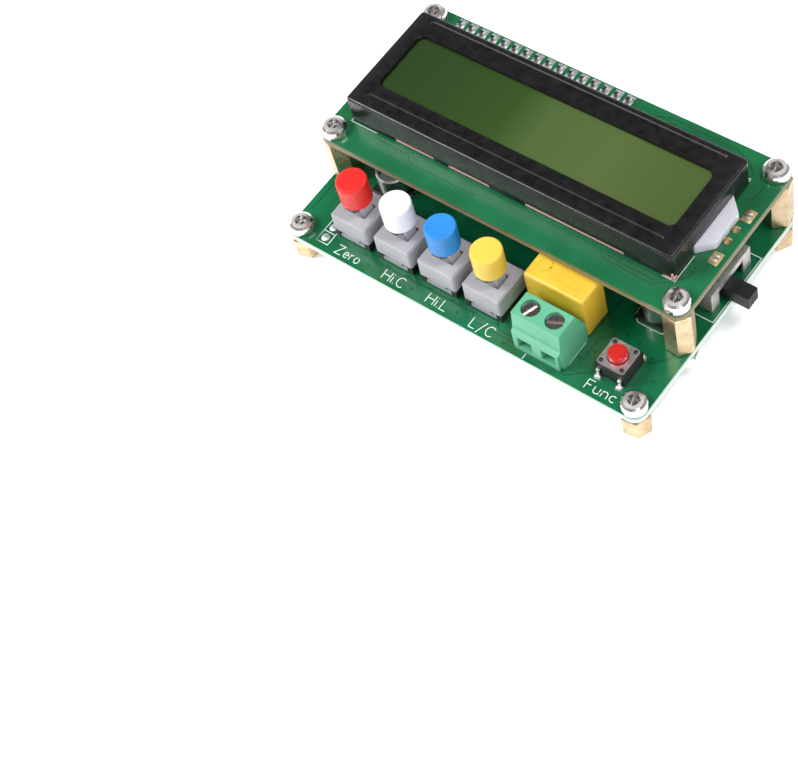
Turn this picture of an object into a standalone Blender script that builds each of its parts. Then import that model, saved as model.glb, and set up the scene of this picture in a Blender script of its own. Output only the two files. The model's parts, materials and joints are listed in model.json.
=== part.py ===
"""A bare-board inductance and capacitance meter: a main circuit board with push switches, a terminal block
and a slide switch, and a character display board carried above it on hexagon standoffs.

Metres, +Z up. The origin is the bottom centre of the whole object: the feet stand on Z = 0, +X runs from
the first push switch to the slide switch, and -Y is the side that faces the user.
"""

from math import cos, pi, radians, sin, sqrt

import bmesh
import bpy
from mathutils import Matrix

MM = 0.001
SEAT = 0.1 * MM  # gap between a piece and what it rests on
CLEARANCE = 0.3 * MM  # gap round a piece that moves or plugs in

# Boards
BOARD_LENGTH = 80.0 * MM
BOARD_THICKNESS = 1.6 * MM
DISPLAY_BOARD_WIDTH = 36.0 * MM
FRONT_APRON = 14.5 * MM  # how far the main board reaches in front of the display board
HOLE_INSET = 2.5 * MM  # mounting hole centre to board edge
BOARD_CORNER = 2.4 * MM
BOARD_CORNER_STEPS = 6
HOLE_RADIUS = 1.6 * MM

# Hexagon standoffs, feet, nuts and screws (M3)
STANDOFF_LENGTH = 11.0 * MM
FOOT_LENGTH = 5.0 * MM
HEXAGON_ACROSS = 5.0 * MM
HEXAGON_CHAMFER = 0.2 * MM  # at both ends
THREAD_RADIUS = 1.3 * MM
THREADED_BORE_RADIUS = 1.5 * MM
BORE_DEPTH = 4.0 * MM
STUD_LENGTH = 4.2 * MM
SCREW_LENGTH = 4.6 * MM
SCREW_HEAD_RADIUS = 2.5 * MM
SCREW_HEAD_HEIGHT = 2.0 * MM
SCREW_DOME = ((0.45, 1.0), (0.74, 0.93), (0.9, 0.76), (0.98, 0.52), (1.0, 0.3))  # shares of both
SCREW_TURN = radians(20)
RECESS_SHARE = 0.5  # of the head's width
RECESS_WIDTH = 0.6 * MM
RECESS_DEPTH = 0.9 * MM
NUT_ACROSS = 5.5 * MM
NUT_HEIGHT = 2.4 * MM
STANDOFF_TURNS = {  # degrees, as they were tightened
    ("front", "left"): 8.0,
    ("front", "right"): 24.0,
    ("back", "left"): 25.0,
    ("back", "right"): 11.0,
}
FOOT_TURNS = {
    ("front", "left"): -15.0,
    ("front", "right"): -23.5,
    ("back", "left"): 5.0,
    ("back", "right"): 28.0,
}
NUT_TURN = 15.0

# Display module
BEZEL_LENGTH = 71.0 * MM
BEZEL_WIDTH = 23.8 * MM
BEZEL_HEIGHT = 6.3 * MM
BEZEL_WALL = 0.5 * MM
BEZEL_EDGE = 0.45 * MM
BEZEL_SHIFT = -0.9 * MM  # the bezel's centre from the board's, along X
WINDOW_LENGTH = 64.4 * MM
WINDOW_WIDTH = 13.6 * MM
WINDOW_SHIFT = 0.3 * MM  # its centre from the bezel's, along Y
WINDOW_CORNER = 1.2 * MM
GLASS_THICKNESS = 1.8 * MM
BACKLIGHT_THICKNESS = 3.6 * MM
BACKLIGHT_TAB_REACH = 2.6 * MM  # past the bezel's end
BACKLIGHT_TAB_ROOT = 12.2 * MM
BACKLIGHT_TAB_TIP = 7.0 * MM
BACKLIGHT_TAB_HEIGHT = 1.9 * MM
BACKLIGHT_TAB_SHIFT = 0.6 * MM  # its centre from the bezel's, along Y
ZEBRA_WIDTH = 1.4 * MM
HEADER_WAYS = 16
HEADER_PITCH = 2.54 * MM
HEADER_FIRST_X = -32.0 * MM  # from the display board's centre
HEADER_FROM_BACK = 1.7 * MM
HEADER_STRIP_HEIGHT = 2.5 * MM
HEADER_PIN = 0.64 * MM
HEADER_PIN_TIP = 1.0 * MM  # above the display board
HEADER_PIN_DEPTH = 5.5 * MM  # into the socket
HEADER_HOLE = 1.1 * MM
SOCKET_WIDTH = 2.5 * MM

# Push switches
SWITCH_NAMES = ("zero", "high_c", "high_l", "mode")
SWITCH_CAP_FINISHES = ("red_plastic", "white_cap", "blue_plastic", "yellow_plastic")
SWITCH_PITCH = 10.16 * MM
SWITCH_FIRST_X = -26.5 * MM  # from the boards' centre
SWITCH_FROM_FRONT = 8.5 * MM  # switch centre to the main board's front edge
SWITCH_TOP = 8.2 * MM  # housing across its top
SWITCH_SKIRT = 8.4 * MM  # housing across its skirt
SWITCH_HEIGHT = 6.4 * MM
SWITCH_SKIRT_HEIGHT = 2.2 * MM
SWITCH_WALL = 0.8 * MM
SWITCH_ROOF = 0.9 * MM
SWITCH_EDGE = 0.3 * MM
CLIP_WIDTH = 5.6 * MM
CLIP_NECK = 3.2 * MM
CLIP_THICKNESS = 0.6 * MM
CLIP_INSET = 0.1 * MM  # behind the skirt
CLIP_BOTTOM = 0.35 * MM  # above the board
CLIP_HEIGHT = 0.8 * MM
CLIP_PLAY = 0.15 * MM  # either side of a clip, in the base
MOUTH_WIDTH = 4.8 * MM  # the opening in the roof
MOUTH_DEPTH = 3.4 * MM
PLUNGER_WIDTH = 4.1 * MM  # across both prongs
PLUNGER_DEPTH = 2.4 * MM
PLUNGER_PRONG = 1.0 * MM
PLUNGER_BRIDGE = 0.7 * MM  # joins the prongs inside the cap
PLUNGER_STEM = 2.8 * MM  # the part that the cap grips, along X
PLUNGER_FLANGE = 5.4 * MM
PLUNGER_FLANGE_THICKNESS = 0.5 * MM
CAP_RADIUS = 3.0 * MM
CAP_HEIGHT = 5.3 * MM
CAP_EDGE = 0.4 * MM
CAP_EDGE_STEPS = 3
CAP_GRIP = 0.1 * MM  # gap between the plunger and the cap's socket
CAP_GAP = 3.1 * MM  # cap underside to housing top, when released
CAP_WALL = 0.35 * MM  # round the hollow in its underside
CAP_HOLLOW_DEPTH = 1.3 * MM
CAP_SOCKET_DEPTH = 3.2 * MM

# Terminal block
TERMINAL_CENTRE_X = 18.05 * MM
TERMINAL_PITCH = 5.08 * MM
TERMINAL_HEIGHT = 10.3 * MM
TERMINAL_DEPTH = 8.0 * MM
TERMINAL_FROM_FRONT = 1.4 * MM  # its front foot to the main board's front edge
TERMINAL_TOP_DEPTH = 4.8 * MM
TERMINAL_LEAN = 0.4 * MM  # how far the upper front leans back
TERMINAL_STEP = 0.6 * MM
TERMINAL_STEP_HEIGHT = 5.7 * MM
TERMINAL_SHOULDER_HEIGHT = 5.1 * MM  # where the back starts to slope
TERMINAL_GROOVE_HEIGHT = 5.0 * MM  # the groove that takes a neighbouring block
TERMINAL_GROOVE_WIDTH = 0.8 * MM
TERMINAL_GROOVE_DEPTH = 0.5 * MM
WIRE_ENTRY_WIDTH = 3.1 * MM
WIRE_ENTRY_HEIGHT = 2.8 * MM
WIRE_ENTRY_SILL = 1.4 * MM
TERMINAL_SCREW_RADIUS = 1.65 * MM
TERMINAL_SCREW_RECESS = 0.5 * MM
TERMINAL_SCREW_HEAD = 1.8 * MM
TERMINAL_SHANK_RADIUS = 1.15 * MM
TERMINAL_WELL_GAP = 0.15 * MM  # round the screws
TERMINAL_LEDGE = 0.6 * MM  # under the screws' heads
TERMINAL_SLOT_TURNS = {"left": radians(70), "right": radians(25)}
TERMINAL_SLOT_WIDTH = 0.6 * MM
TERMINAL_SLOT_DEPTH = 0.7 * MM
CLAMP_WIDTH = 3.5 * MM
CLAMP_DEPTH = 3.4 * MM
CLAMP_WALL = 0.6 * MM
CLAMP_RISE = 1.4 * MM
CAGE_FLOOR = 0.9 * MM  # floor of the clamp's chamber above the board

# Film capacitor
FILM_LENGTH = 12.7 * MM
FILM_WIDTH = 6.3 * MM
FILM_EDGE = 0.5 * MM
FILM_CENTRE_X = 16.65 * MM
FILM_TERMINAL_GAP = 0.3 * MM

# Small push button ("function")
BUTTON_CENTRE_X = 31.05 * MM
BUTTON_FROM_FRONT = 7.65 * MM
BUTTON_BODY = 6.0 * MM
BUTTON_BODY_HEIGHT = 3.1 * MM
BUTTON_COVER = 5.7 * MM
BUTTON_COVER_THICKNESS = 0.3 * MM
BUTTON_COVER_CORNER = 0.5 * MM
BUTTON_GAP = 0.15 * MM  # round the button
BUTTON_EDGE = 0.25 * MM
BUTTON_RADIUS = 1.75 * MM
BUTTON_FLANGE_RADIUS = 2.1 * MM
BUTTON_FLANGE_THICKNESS = 0.5 * MM
BUTTON_PROUD = 1.5 * MM
BUTTON_WELL_DEPTH = 1.8 * MM

# Slide switch
SLIDE_FACE_INSET = 1.35 * MM  # its outer face to the boards' right edge
SLIDE_CENTRE_Y = -1.4 * MM  # from the display board's centre
SLIDE_LENGTH = 12.3 * MM
SLIDE_DEPTH = 5.2 * MM
SLIDE_HEIGHT = 5.0 * MM
SLIDE_WALL = 0.4 * MM
SLIDE_SLOT_LENGTH = 7.6 * MM
SLIDE_SLOT_HEIGHT = 3.6 * MM
LEVER_WIDTH = 3.0 * MM
LEVER_HEIGHT = 3.0 * MM
LEVER_FLOOR = 0.3 * MM
LEVER_OVERHANG = 3.8 * MM  # past the boards' right edge
LEVER_TRAVEL = 2.0 * MM
LEVER_TEETH = 5
LEVER_TOOTH_DEPTH = 0.25 * MM
SLIDER_LENGTH = 5.0 * MM
SLIDER_HEIGHT = 3.9 * MM
TERMINAL_PLATE_THICKNESS = 1.0 * MM

# USB socket
USB_WIDTH = 7.7 * MM
USB_HEIGHT = 3.9 * MM
USB_DEPTH = 9.2 * MM
USB_WALL = 0.35 * MM
USB_EDGE = 0.5 * MM
USB_BACK = 1.2 * MM
USB_MOUTH_DEPTH = 1.5 * MM  # mouth to tongue
USB_OVERHANG = 0.8 * MM  # past the boards' left edge
USB_TONGUE_WIDTH = 4.6 * MM
USB_TONGUE_THICKNESS = 0.9 * MM

# Board components: (X, Y) from the display board's centre
CAN_RADIUS = 3.15 * MM
CAN_HEIGHT = 5.4 * MM
CAN_RIM = 0.3 * MM
CAN_BASE_SIDE = 6.5 * MM
CAN_BASE_HEIGHT = 0.9 * MM
CAN_PLACES = {
    "electrolytic_capacitor_left": (-27.4 * MM, -13.7 * MM),
    "electrolytic_capacitor_right": (30.9 * MM, -11.9 * MM),
}
CHIP_SIDE = 10.0 * MM
CHIP_HEIGHT = 1.4 * MM
CHIP_EDGE = 0.12 * MM
CHIP_PLACE = (-6.0 * MM, -3.0 * MM)
CRYSTAL_LENGTH = 11.2 * MM
CRYSTAL_WIDTH = 4.6 * MM
CRYSTAL_HEIGHT = 3.5 * MM
CRYSTAL_PLACE = (-6.0 * MM, 7.5 * MM)
CRYSTAL_FLANGE = 0.4 * MM
INDUCTOR_RADIUS = 3.0 * MM
INDUCTOR_WAIST = 2.1 * MM
INDUCTOR_HEIGHT = 7.0 * MM
INDUCTOR_RIM = 1.1 * MM
INDUCTOR_PLACE = (15.0 * MM, -6.0 * MM)

# What follows from the sizes above
MAIN_BOARD_WIDTH = DISPLAY_BOARD_WIDTH + FRONT_APRON
BOARD_X = (USB_OVERHANG - LEVER_OVERHANG) / 2
DISPLAY_Y = FRONT_APRON / 2
MAIN_FRONT_Y = -MAIN_BOARD_WIDTH / 2
MAIN_BOTTOM = FOOT_LENGTH + SEAT
MAIN_TOP = MAIN_BOTTOM + BOARD_THICKNESS
BOARD_GAP = STANDOFF_LENGTH + 2 * SEAT
FILM_HEIGHT = BOARD_GAP - SEAT - CLEARANCE  # it reaches just under the display board
DISPLAY_BOTTOM = MAIN_TOP + BOARD_GAP
DISPLAY_TOP = DISPLAY_BOTTOM + BOARD_THICKNESS
ON_MAIN = MAIN_TOP + SEAT
ON_DISPLAY = DISPLAY_TOP + SEAT
HOLE_X = BOARD_LENGTH / 2 - HOLE_INSET
HOLE_Y = DISPLAY_BOARD_WIDTH / 2 - HOLE_INSET
SIDES = {"left": -1, "right": 1}
ROWS = {"front": -1, "back": 1}
ROUND = 24  # sides of an ordinary round piece

FINISHES = {  # colour, roughness, metallic
    "main_mask": ((0.012, 0.20, 0.09), 0.30, 0.0),
    "display_mask": ((0.015, 0.24, 0.10), 0.35, 0.0),
    "brass": ((0.72, 0.56, 0.38), 0.35, 1.0),
    "nickel": ((0.72, 0.70, 0.69), 0.18, 1.0),
    "black_metal": ((0.012, 0.011, 0.013), 0.38, 0.6),
    "display_glass": ((0.11, 0.17, 0.03), 0.12, 0.0),
    "white_plastic": ((0.80, 0.80, 0.88), 0.35, 0.0),
    "pink_rubber": ((0.70, 0.35, 0.40), 0.60, 0.0),
    "black_plastic": ((0.02, 0.02, 0.02), 0.45, 0.0),
    "grey_plastic": ((0.46, 0.45, 0.49), 0.45, 0.0),
    "red_plastic": ((0.76, 0.02, 0.01), 0.35, 0.0),
    "white_cap": ((0.88, 0.87, 0.90), 0.35, 0.0),
    "blue_plastic": ((0.02, 0.27, 0.80), 0.35, 0.0),
    "yellow_plastic": ((0.94, 0.64, 0.08), 0.35, 0.0),
    "green_plastic": ((0.11, 0.50, 0.27), 0.40, 0.0),
    "film_yellow": ((0.87, 0.55, 0.05), 0.35, 0.0),
    "steel": ((0.62, 0.60, 0.60), 0.30, 1.0),
    "aluminium": ((0.70, 0.71, 0.72), 0.30, 1.0),
    "ferrite": ((0.05, 0.05, 0.05), 0.60, 0.0),
}


# Helpers -------------------------------------------------------------------------------------------------


def finish(name):
    """The named material, made the first time that it is asked for."""
    if name in bpy.data.materials:
        return bpy.data.materials[name]
    colour, roughness, metallic = FINISHES[name]
    material = bpy.data.materials.new(name)
    material.use_nodes = True
    shader = material.node_tree.nodes["Principled BSDF"]
    shader.inputs["Base Color"].default_value = (*colour, 1.0)
    shader.inputs["Roughness"].default_value = roughness
    shader.inputs["Metallic"].default_value = metallic
    return material


def collection(name):
    """The named collection, linked to the scene."""
    if name not in bpy.data.collections:
        bpy.context.scene.collection.children.link(bpy.data.collections.new(name))
    return bpy.data.collections[name]


def empty_at(name, place):
    """An empty that a sub-assembly hangs on."""
    empty = bpy.data.objects.new(name, None)
    empty.empty_display_size = 2 * MM
    empty.location = place
    collection("meter").objects.link(empty)
    return empty


def add_box(bm, centre, size):
    """Adds a box and returns its vertices."""
    matrix = Matrix.Translation(centre) @ Matrix.Diagonal((*size, 1.0))
    return bmesh.ops.create_cube(bm, size=1.0, matrix=matrix)["verts"]


def add_rod(bm, centre, radius, length, sides=ROUND, turn=0.0):
    """Adds an upright round or many-sided rod. turn is in radians about Z."""
    matrix = Matrix.Translation(centre) @ Matrix.Rotation(turn, 4, "Z")
    made = bmesh.ops.create_cone(
        bm,
        cap_ends=True,
        segments=sides,
        radius1=radius,
        radius2=radius,
        depth=length,
        matrix=matrix,
    )
    return made["verts"]


def soften(bm, width, segments, wanted=None):
    """Bevels the edges for which wanted(edge) is true, or all of them."""
    edges = [edge for edge in bm.edges if wanted is None or wanted(edge)]
    bmesh.ops.bevel(
        bm, geom=edges, offset=width, segments=segments, profile=0.5, affect="EDGES"
    )


def at_top_or_side(edge):
    """True for upright edges and for the edges round the top."""
    low, high = sorted(vertex.co.z for vertex in edge.verts)
    top = max(vertex.co.z for face in edge.link_faces for vertex in face.verts)
    return high - low > 1e-6 or low > top - 1e-6


def is_upright(edge):
    """True for an edge that runs along Z."""
    along = edge.verts[1].co - edge.verts[0].co
    return abs(along.z) > 0.999 * along.length


def is_along_x(edge):
    """True for an edge that runs along X."""
    along = edge.verts[1].co - edge.verts[0].co
    return abs(along.x) > 0.999 * along.length


def new_object(name, bm, place=(0, 0, 0), material=None, parent=None):
    """Makes an object of the bmesh. With no material it is a helper that isn't rendered."""
    mesh = bpy.data.meshes.new(name)
    bm.to_mesh(mesh)
    bm.free()
    made = bpy.data.objects.new(name, mesh)
    return placed(made, place, material, parent)


def placed(made, place, material, parent):
    """Links the object as a piece of the meter, or as a cutter if it has no material."""
    made.data.shade_smooth()
    made.data.set_sharp_from_angle(angle=radians(35))
    made.location = place
    made.parent = parent
    if material:
        made.data.materials.clear()
        made.data.materials.append(finish(material))
        collection("meter").objects.link(made)
    else:
        collection("cutters").objects.link(made)
        made.hide_render = True
        made.display_type = "WIRE"
    return made


def box(name, size, place, material=None, parent=None, edge=0.0, wanted=None):
    """A box about its own origin, with rounded edges where edge is given."""
    bm = bmesh.new()
    add_box(bm, (0, 0, 0), size)
    if edge:
        soften(bm, edge, 2, wanted)
    return new_object(name, bm, place, material, parent)


def turned(name, profile, place, material=None, parent=None, sides=ROUND):
    """A turned piece. The profile's (radius, height) points run down its outer side from the axis at the top
    to the axis at the bottom."""
    mesh = bpy.data.meshes.new(name)
    points = [(radius, 0.0, height) for radius, height in profile]
    mesh.from_pydata(points, [(i, i + 1) for i in range(len(points) - 1)], [])
    made = placed(bpy.data.objects.new(name, mesh), place, material, parent)
    screw = made.modifiers.new("turn", "SCREW")
    screw.steps = screw.render_steps = sides
    screw.use_merge_vertices = True
    screw.merge_threshold = 0.01 * MM
    return made


def slab(name, outline, thickness, place, turn=None, material=None, parent=None):
    """A flat outline given thickness along its own Z, then turned by a matrix and placed."""
    curve = bpy.data.curves.new(name, "CURVE")
    curve.dimensions = "2D"
    curve.fill_mode = "BOTH"
    curve.extrude = thickness / 2
    spline = curve.splines.new("POLY")
    spline.points.add(len(outline) - 1)
    for point, (x, y) in zip(spline.points, outline):
        point.co = (x, y, 0.0, 1.0)
    spline.use_cyclic_u = True
    guide = bpy.data.objects.new(name + "_outline", curve)
    collection("cutters").objects.link(guide)
    bpy.context.view_layer.update()
    graph = bpy.context.evaluated_depsgraph_get()
    mesh = bpy.data.meshes.new_from_object(guide.evaluated_get(graph))
    bpy.data.objects.remove(guide)
    bm = bmesh.new()
    bm.from_mesh(mesh)
    bpy.data.meshes.remove(mesh)
    bmesh.ops.remove_doubles(bm, verts=bm.verts, dist=0.001 * MM)
    if turn:
        bmesh.ops.transform(bm, matrix=turn, verts=bm.verts)
    bmesh.ops.recalc_face_normals(bm, faces=bm.faces)
    return new_object(name, bm, place, material, parent)


def combine(target, other, operation):
    """Cuts other from target, or joins it on."""
    modifier = target.modifiers.new(other.name, "BOOLEAN")
    modifier.operation = operation
    modifier.solver = "EXACT"
    modifier.object = other
    return target


def cut(target, *cutters):
    """Cuts the helpers from the target."""
    for cutter in cutters:
        combine(target, cutter, "DIFFERENCE")
    return target


def join(target, *others):
    """Joins the helpers onto the target."""
    for other in others:
        combine(target, other, "UNION")
    return target


def baked(pattern):
    """The finished mesh of a pattern and its modifiers, where it stands. The pattern itself is removed."""
    bpy.context.view_layer.update()
    graph = bpy.context.evaluated_depsgraph_get()
    mesh = bpy.data.meshes.new_from_object(pattern.evaluated_get(graph))
    mesh.transform(pattern.matrix_world)
    for modifier in pattern.modifiers:
        if modifier.type == "BOOLEAN":
            bpy.data.objects.remove(modifier.object)
    bpy.data.objects.remove(pattern)
    return mesh


def copy_of(mesh, name, place, material, parent=None):
    """A piece that has its own copy of a pattern's mesh."""
    return placed(bpy.data.objects.new(name, mesh.copy()), place, material, parent)


def rods(name, places, radius, length, parent=None, sides=ROUND):
    """A helper of upright rods, one at each place."""
    bm = bmesh.new()
    for place in places:
        add_rod(bm, place, radius, length, sides)
    return new_object(name, bm, parent=parent)


# Boards and hardware ---------------------------------------------------------------------------------------


def hole_places():
    """{(row, side): (x, y)} of the display board's four mounting holes."""
    return {
        (row, side): (BOARD_X + x_sign * HOLE_X, DISPLAY_Y + y_sign * HOLE_Y)
        for row, y_sign in ROWS.items()
        for side, x_sign in SIDES.items()
    }


def front_hole_places():
    """{side: (x, y)} of the two holes at the main board's front corners."""
    y = MAIN_FRONT_Y + HOLE_INSET
    return {side: (BOARD_X + sign * HOLE_X, y) for side, sign in SIDES.items()}


def header_xs():
    """X of each header pin."""
    first = BOARD_X + HEADER_FIRST_X
    return [first + way * HEADER_PITCH for way in range(HEADER_WAYS)]


def header_y():
    """Y of the header's row of pins."""
    return DISPLAY_Y + DISPLAY_BOARD_WIDTH / 2 - HEADER_FROM_BACK


def posts(name, xs, y, z, width, height):
    """A helper of square posts in a row along X."""
    bm = bmesh.new()
    for x in xs:
        add_box(bm, (x, y, z), (width, width, height))
    return new_object(name, bm)


def blank(name, width, y, top, material):
    """A board blank with rounded corners."""
    bm = bmesh.new()
    add_box(bm, (0, 0, 0), (BOARD_LENGTH, width, BOARD_THICKNESS))
    soften(bm, BOARD_CORNER, BOARD_CORNER_STEPS, is_upright)
    return new_object(name, bm, (BOARD_X, y, top - BOARD_THICKNESS / 2), material)


def boards():
    """The two circuit boards with their holes."""
    main = blank("main_board", MAIN_BOARD_WIDTH, 0, MAIN_TOP, "main_mask")
    places = [*hole_places().values(), *front_hole_places().values()]
    centres = [(x, y, main.location.z) for x, y in places]
    cut(main, rods("main_board_holes", centres, HOLE_RADIUS, 3 * BOARD_THICKNESS, sides=20))

    display = blank(
        "display_board", DISPLAY_BOARD_WIDTH, DISPLAY_Y, DISPLAY_TOP, "display_mask"
    )
    level = display.location.z
    centres = [(x, y, level) for x, y in hole_places().values()]
    holes = rods("display_board_holes", centres, HOLE_RADIUS, 3 * BOARD_THICKNESS, sides=20)
    pin_holes = posts(
        "header_holes", header_xs(), header_y(), level, HEADER_HOLE, 3 * BOARD_THICKNESS
    )
    cut(display, holes, pin_holes)


def hexagon(name, across, length, base, place, turn, material):
    """An upright hexagon bar that starts at height base. turn is in degrees."""
    bm = bmesh.new()
    add_rod(bm, (0, 0, 0), across / sqrt(3), length, 6)
    soften(bm, HEXAGON_CHAMFER, 1, lambda edge: not is_upright(edge))
    bar = new_object(name, bm, (*place, base + length / 2), material)
    bar.rotation_euler.z = radians(turn)
    return bar


def standoffs():
    """Four tall standoffs, each bored from above and with a stud below."""
    base = MAIN_TOP + SEAT
    for key, place in hole_places().items():
        name = "standoff_" + "_".join(key)
        bar = hexagon(
            name, HEXAGON_ACROSS, STANDOFF_LENGTH, base, place, STANDOFF_TURNS[key], "brass"
        )
        mouth = (*place, base + STANDOFF_LENGTH)
        cut(bar, rods(name + "_bore", [mouth], THREADED_BORE_RADIUS, 2 * BORE_DEPTH, sides=16))
        centre = (*place, base)
        join(bar, rods(name + "_stud", [centre], THREAD_RADIUS, 2 * STUD_LENGTH, sides=16))


def feet_and_nuts():
    """Feet under the main board's front screws and on the back studs, and nuts on the front studs."""
    places = {("front", side): place for side, place in front_hole_places().items()}
    places.update({key: place for key, place in hole_places().items() if key[0] == "back"})
    for key, place in places.items():
        name = "foot_" + "_".join(key)
        foot = hexagon(name, HEXAGON_ACROSS, FOOT_LENGTH, 0, place, FOOT_TURNS[key], "brass")
        mouth = (*place, FOOT_LENGTH)
        cut(foot, rods(name + "_bore", [mouth], THREADED_BORE_RADIUS, 2 * BORE_DEPTH, sides=16))
    for (row, side), place in hole_places().items():
        if row == "front":
            name = "standoff_nut_" + side
            base = MAIN_BOTTOM - SEAT - NUT_HEIGHT
            nut = hexagon(name, NUT_ACROSS, NUT_HEIGHT, base, place, NUT_TURN, "nickel")
            centre = (*place, base)
            cut(nut, rods(name + "_bore", [centre], THREADED_BORE_RADIUS, 3 * NUT_HEIGHT, sides=16))


def screws():
    """The display board's four pan-head screws and the main board's two front ones."""
    dome = [
        (SCREW_HEAD_RADIUS * share, SCREW_HEAD_HEIGHT * height) for share, height in SCREW_DOME
    ]
    profile = [
        (0.0, SCREW_HEAD_HEIGHT),
        *dome,
        (SCREW_HEAD_RADIUS, 0.0),
        (THREAD_RADIUS, 0.0),
        (THREAD_RADIUS, -SCREW_LENGTH),
        (0.0, -SCREW_LENGTH),
    ]
    pattern = turned("screw_pattern", profile, (0, 0, 0))
    arm = (2 * SCREW_HEAD_RADIUS * RECESS_SHARE, RECESS_WIDTH)
    depth = 2 * RECESS_DEPTH
    place = (0, 0, SCREW_HEAD_HEIGHT)
    cut(
        pattern,
        box("recess_along", (arm[0], arm[1], depth), place),
        box("recess_across", (arm[1], arm[0], depth), place),
    )
    mesh = baked(pattern)
    mesh.transform(Matrix.Rotation(SCREW_TURN, 4, "Z"))
    for key, place in hole_places().items():
        copy_of(mesh, "display_screw_" + "_".join(key), (*place, ON_DISPLAY), "nickel")
    for side, place in front_hole_places().items():
        copy_of(mesh, "board_screw_" + side, (*place, ON_MAIN), "nickel")


# Display module --------------------------------------------------------------------------------------------


def display_module():
    """Bezel, glass, backlight and contact strips, from the outside in."""
    centre_x = BOARD_X + BEZEL_SHIFT
    middle = (centre_x, DISPLAY_Y)
    inner_length = BEZEL_LENGTH - 2 * BEZEL_WALL
    inner_width = BEZEL_WIDTH - 2 * BEZEL_WALL
    roof = ON_DISPLAY + BEZEL_HEIGHT - BEZEL_WALL  # underside of the bezel's top

    bezel = box(
        "lcd_bezel",
        (BEZEL_LENGTH, BEZEL_WIDTH, BEZEL_HEIGHT),
        (*middle, ON_DISPLAY + BEZEL_HEIGHT / 2),
        "black_metal",
        edge=BEZEL_EDGE,
        wanted=at_top_or_side,
    )
    hollow = box(
        "bezel_hollow",
        (inner_length, inner_width, 2 * (BEZEL_HEIGHT - BEZEL_WALL)),
        (*middle, ON_DISPLAY),
    )
    window = box(
        "bezel_window",
        (WINDOW_LENGTH, WINDOW_WIDTH, 4 * BEZEL_WALL),
        (centre_x, DISPLAY_Y + WINDOW_SHIFT, roof),
        edge=WINDOW_CORNER,
        wanted=is_upright,
    )
    tab_door = box(
        "bezel_door",
        (
            4 * BEZEL_WALL,
            BACKLIGHT_TAB_ROOT + 2 * CLEARANCE,
            2 * (BACKLIGHT_TAB_HEIGHT + CLEARANCE),
        ),
        (centre_x + BEZEL_LENGTH / 2, DISPLAY_Y + BACKLIGHT_TAB_SHIFT, ON_DISPLAY),
    )
    cut(bezel, hollow, window, tab_door)

    glass_length = inner_length - 2 * CLEARANCE
    glass_width = inner_width - 2 * CLEARANCE
    glass_top = roof - SEAT
    box(
        "lcd_glass",
        (glass_length, glass_width, GLASS_THICKNESS),
        (*middle, glass_top - GLASS_THICKNESS / 2),
        "display_glass",
    )

    zebra_height = glass_top - GLASS_THICKNESS - ON_DISPLAY - SEAT
    zebra_y = glass_width / 2 - ZEBRA_WIDTH / 2
    for row, sign in ROWS.items():
        box(
            "zebra_strip_" + row,
            (glass_length, ZEBRA_WIDTH, zebra_height),
            (centre_x, DISPLAY_Y + sign * zebra_y, ON_DISPLAY + zebra_height / 2),
            "pink_rubber",
        )

    light_width = glass_width - 2 * (ZEBRA_WIDTH + CLEARANCE)
    light = box(
        "backlight",
        (glass_length, light_width, BACKLIGHT_THICKNESS),
        (*middle, ON_DISPLAY + BACKLIGHT_THICKNESS / 2),
        "white_plastic",
    )
    shoulder = BEZEL_LENGTH / 2
    root = shoulder - 4 * BEZEL_WALL
    tip = shoulder + BACKLIGHT_TAB_REACH
    outline = [
        (root, -BACKLIGHT_TAB_ROOT / 2),
        (shoulder, -BACKLIGHT_TAB_ROOT / 2),
        (tip, -BACKLIGHT_TAB_TIP / 2),
        (tip, BACKLIGHT_TAB_TIP / 2),
        (shoulder, BACKLIGHT_TAB_ROOT / 2),
        (root, BACKLIGHT_TAB_ROOT / 2),
    ]
    tab_place = (
        centre_x,
        DISPLAY_Y + BACKLIGHT_TAB_SHIFT,
        ON_DISPLAY + BACKLIGHT_TAB_HEIGHT / 2,
    )
    join(light, slab("backlight_tab", outline, BACKLIGHT_TAB_HEIGHT, tab_place))


def header():
    """The display board's pin header and the socket on the main board that it plugs into."""
    xs = header_xs()
    length = HEADER_WAYS * HEADER_PITCH
    middle = ((xs[0] + xs[-1]) / 2, header_y())
    strip_top = DISPLAY_BOTTOM - SEAT
    strip = box(
        "display_header",
        (length, HEADER_PITCH, HEADER_STRIP_HEIGHT),
        (*middle, strip_top - HEADER_STRIP_HEIGHT / 2),
        "black_plastic",
    )
    top = DISPLAY_TOP + HEADER_PIN_TIP
    bottom = strip_top - HEADER_STRIP_HEIGHT - HEADER_PIN_DEPTH
    middle_z = (top + bottom) / 2
    join(strip, posts("header_pins", xs, header_y(), middle_z, HEADER_PIN, top - bottom))

    socket_top = strip_top - HEADER_STRIP_HEIGHT - SEAT
    socket = box(
        "header_socket",
        (length, SOCKET_WIDTH, socket_top - ON_MAIN),
        (*middle, (socket_top + ON_MAIN) / 2),
        "black_plastic",
    )
    depth = 2 * (HEADER_PIN_DEPTH + CLEARANCE)
    width = HEADER_PIN + CLEARANCE
    cut(socket, posts("socket_ways", xs, header_y(), socket_top, width, depth))


# Push switches ---------------------------------------------------------------------------------------------


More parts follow.
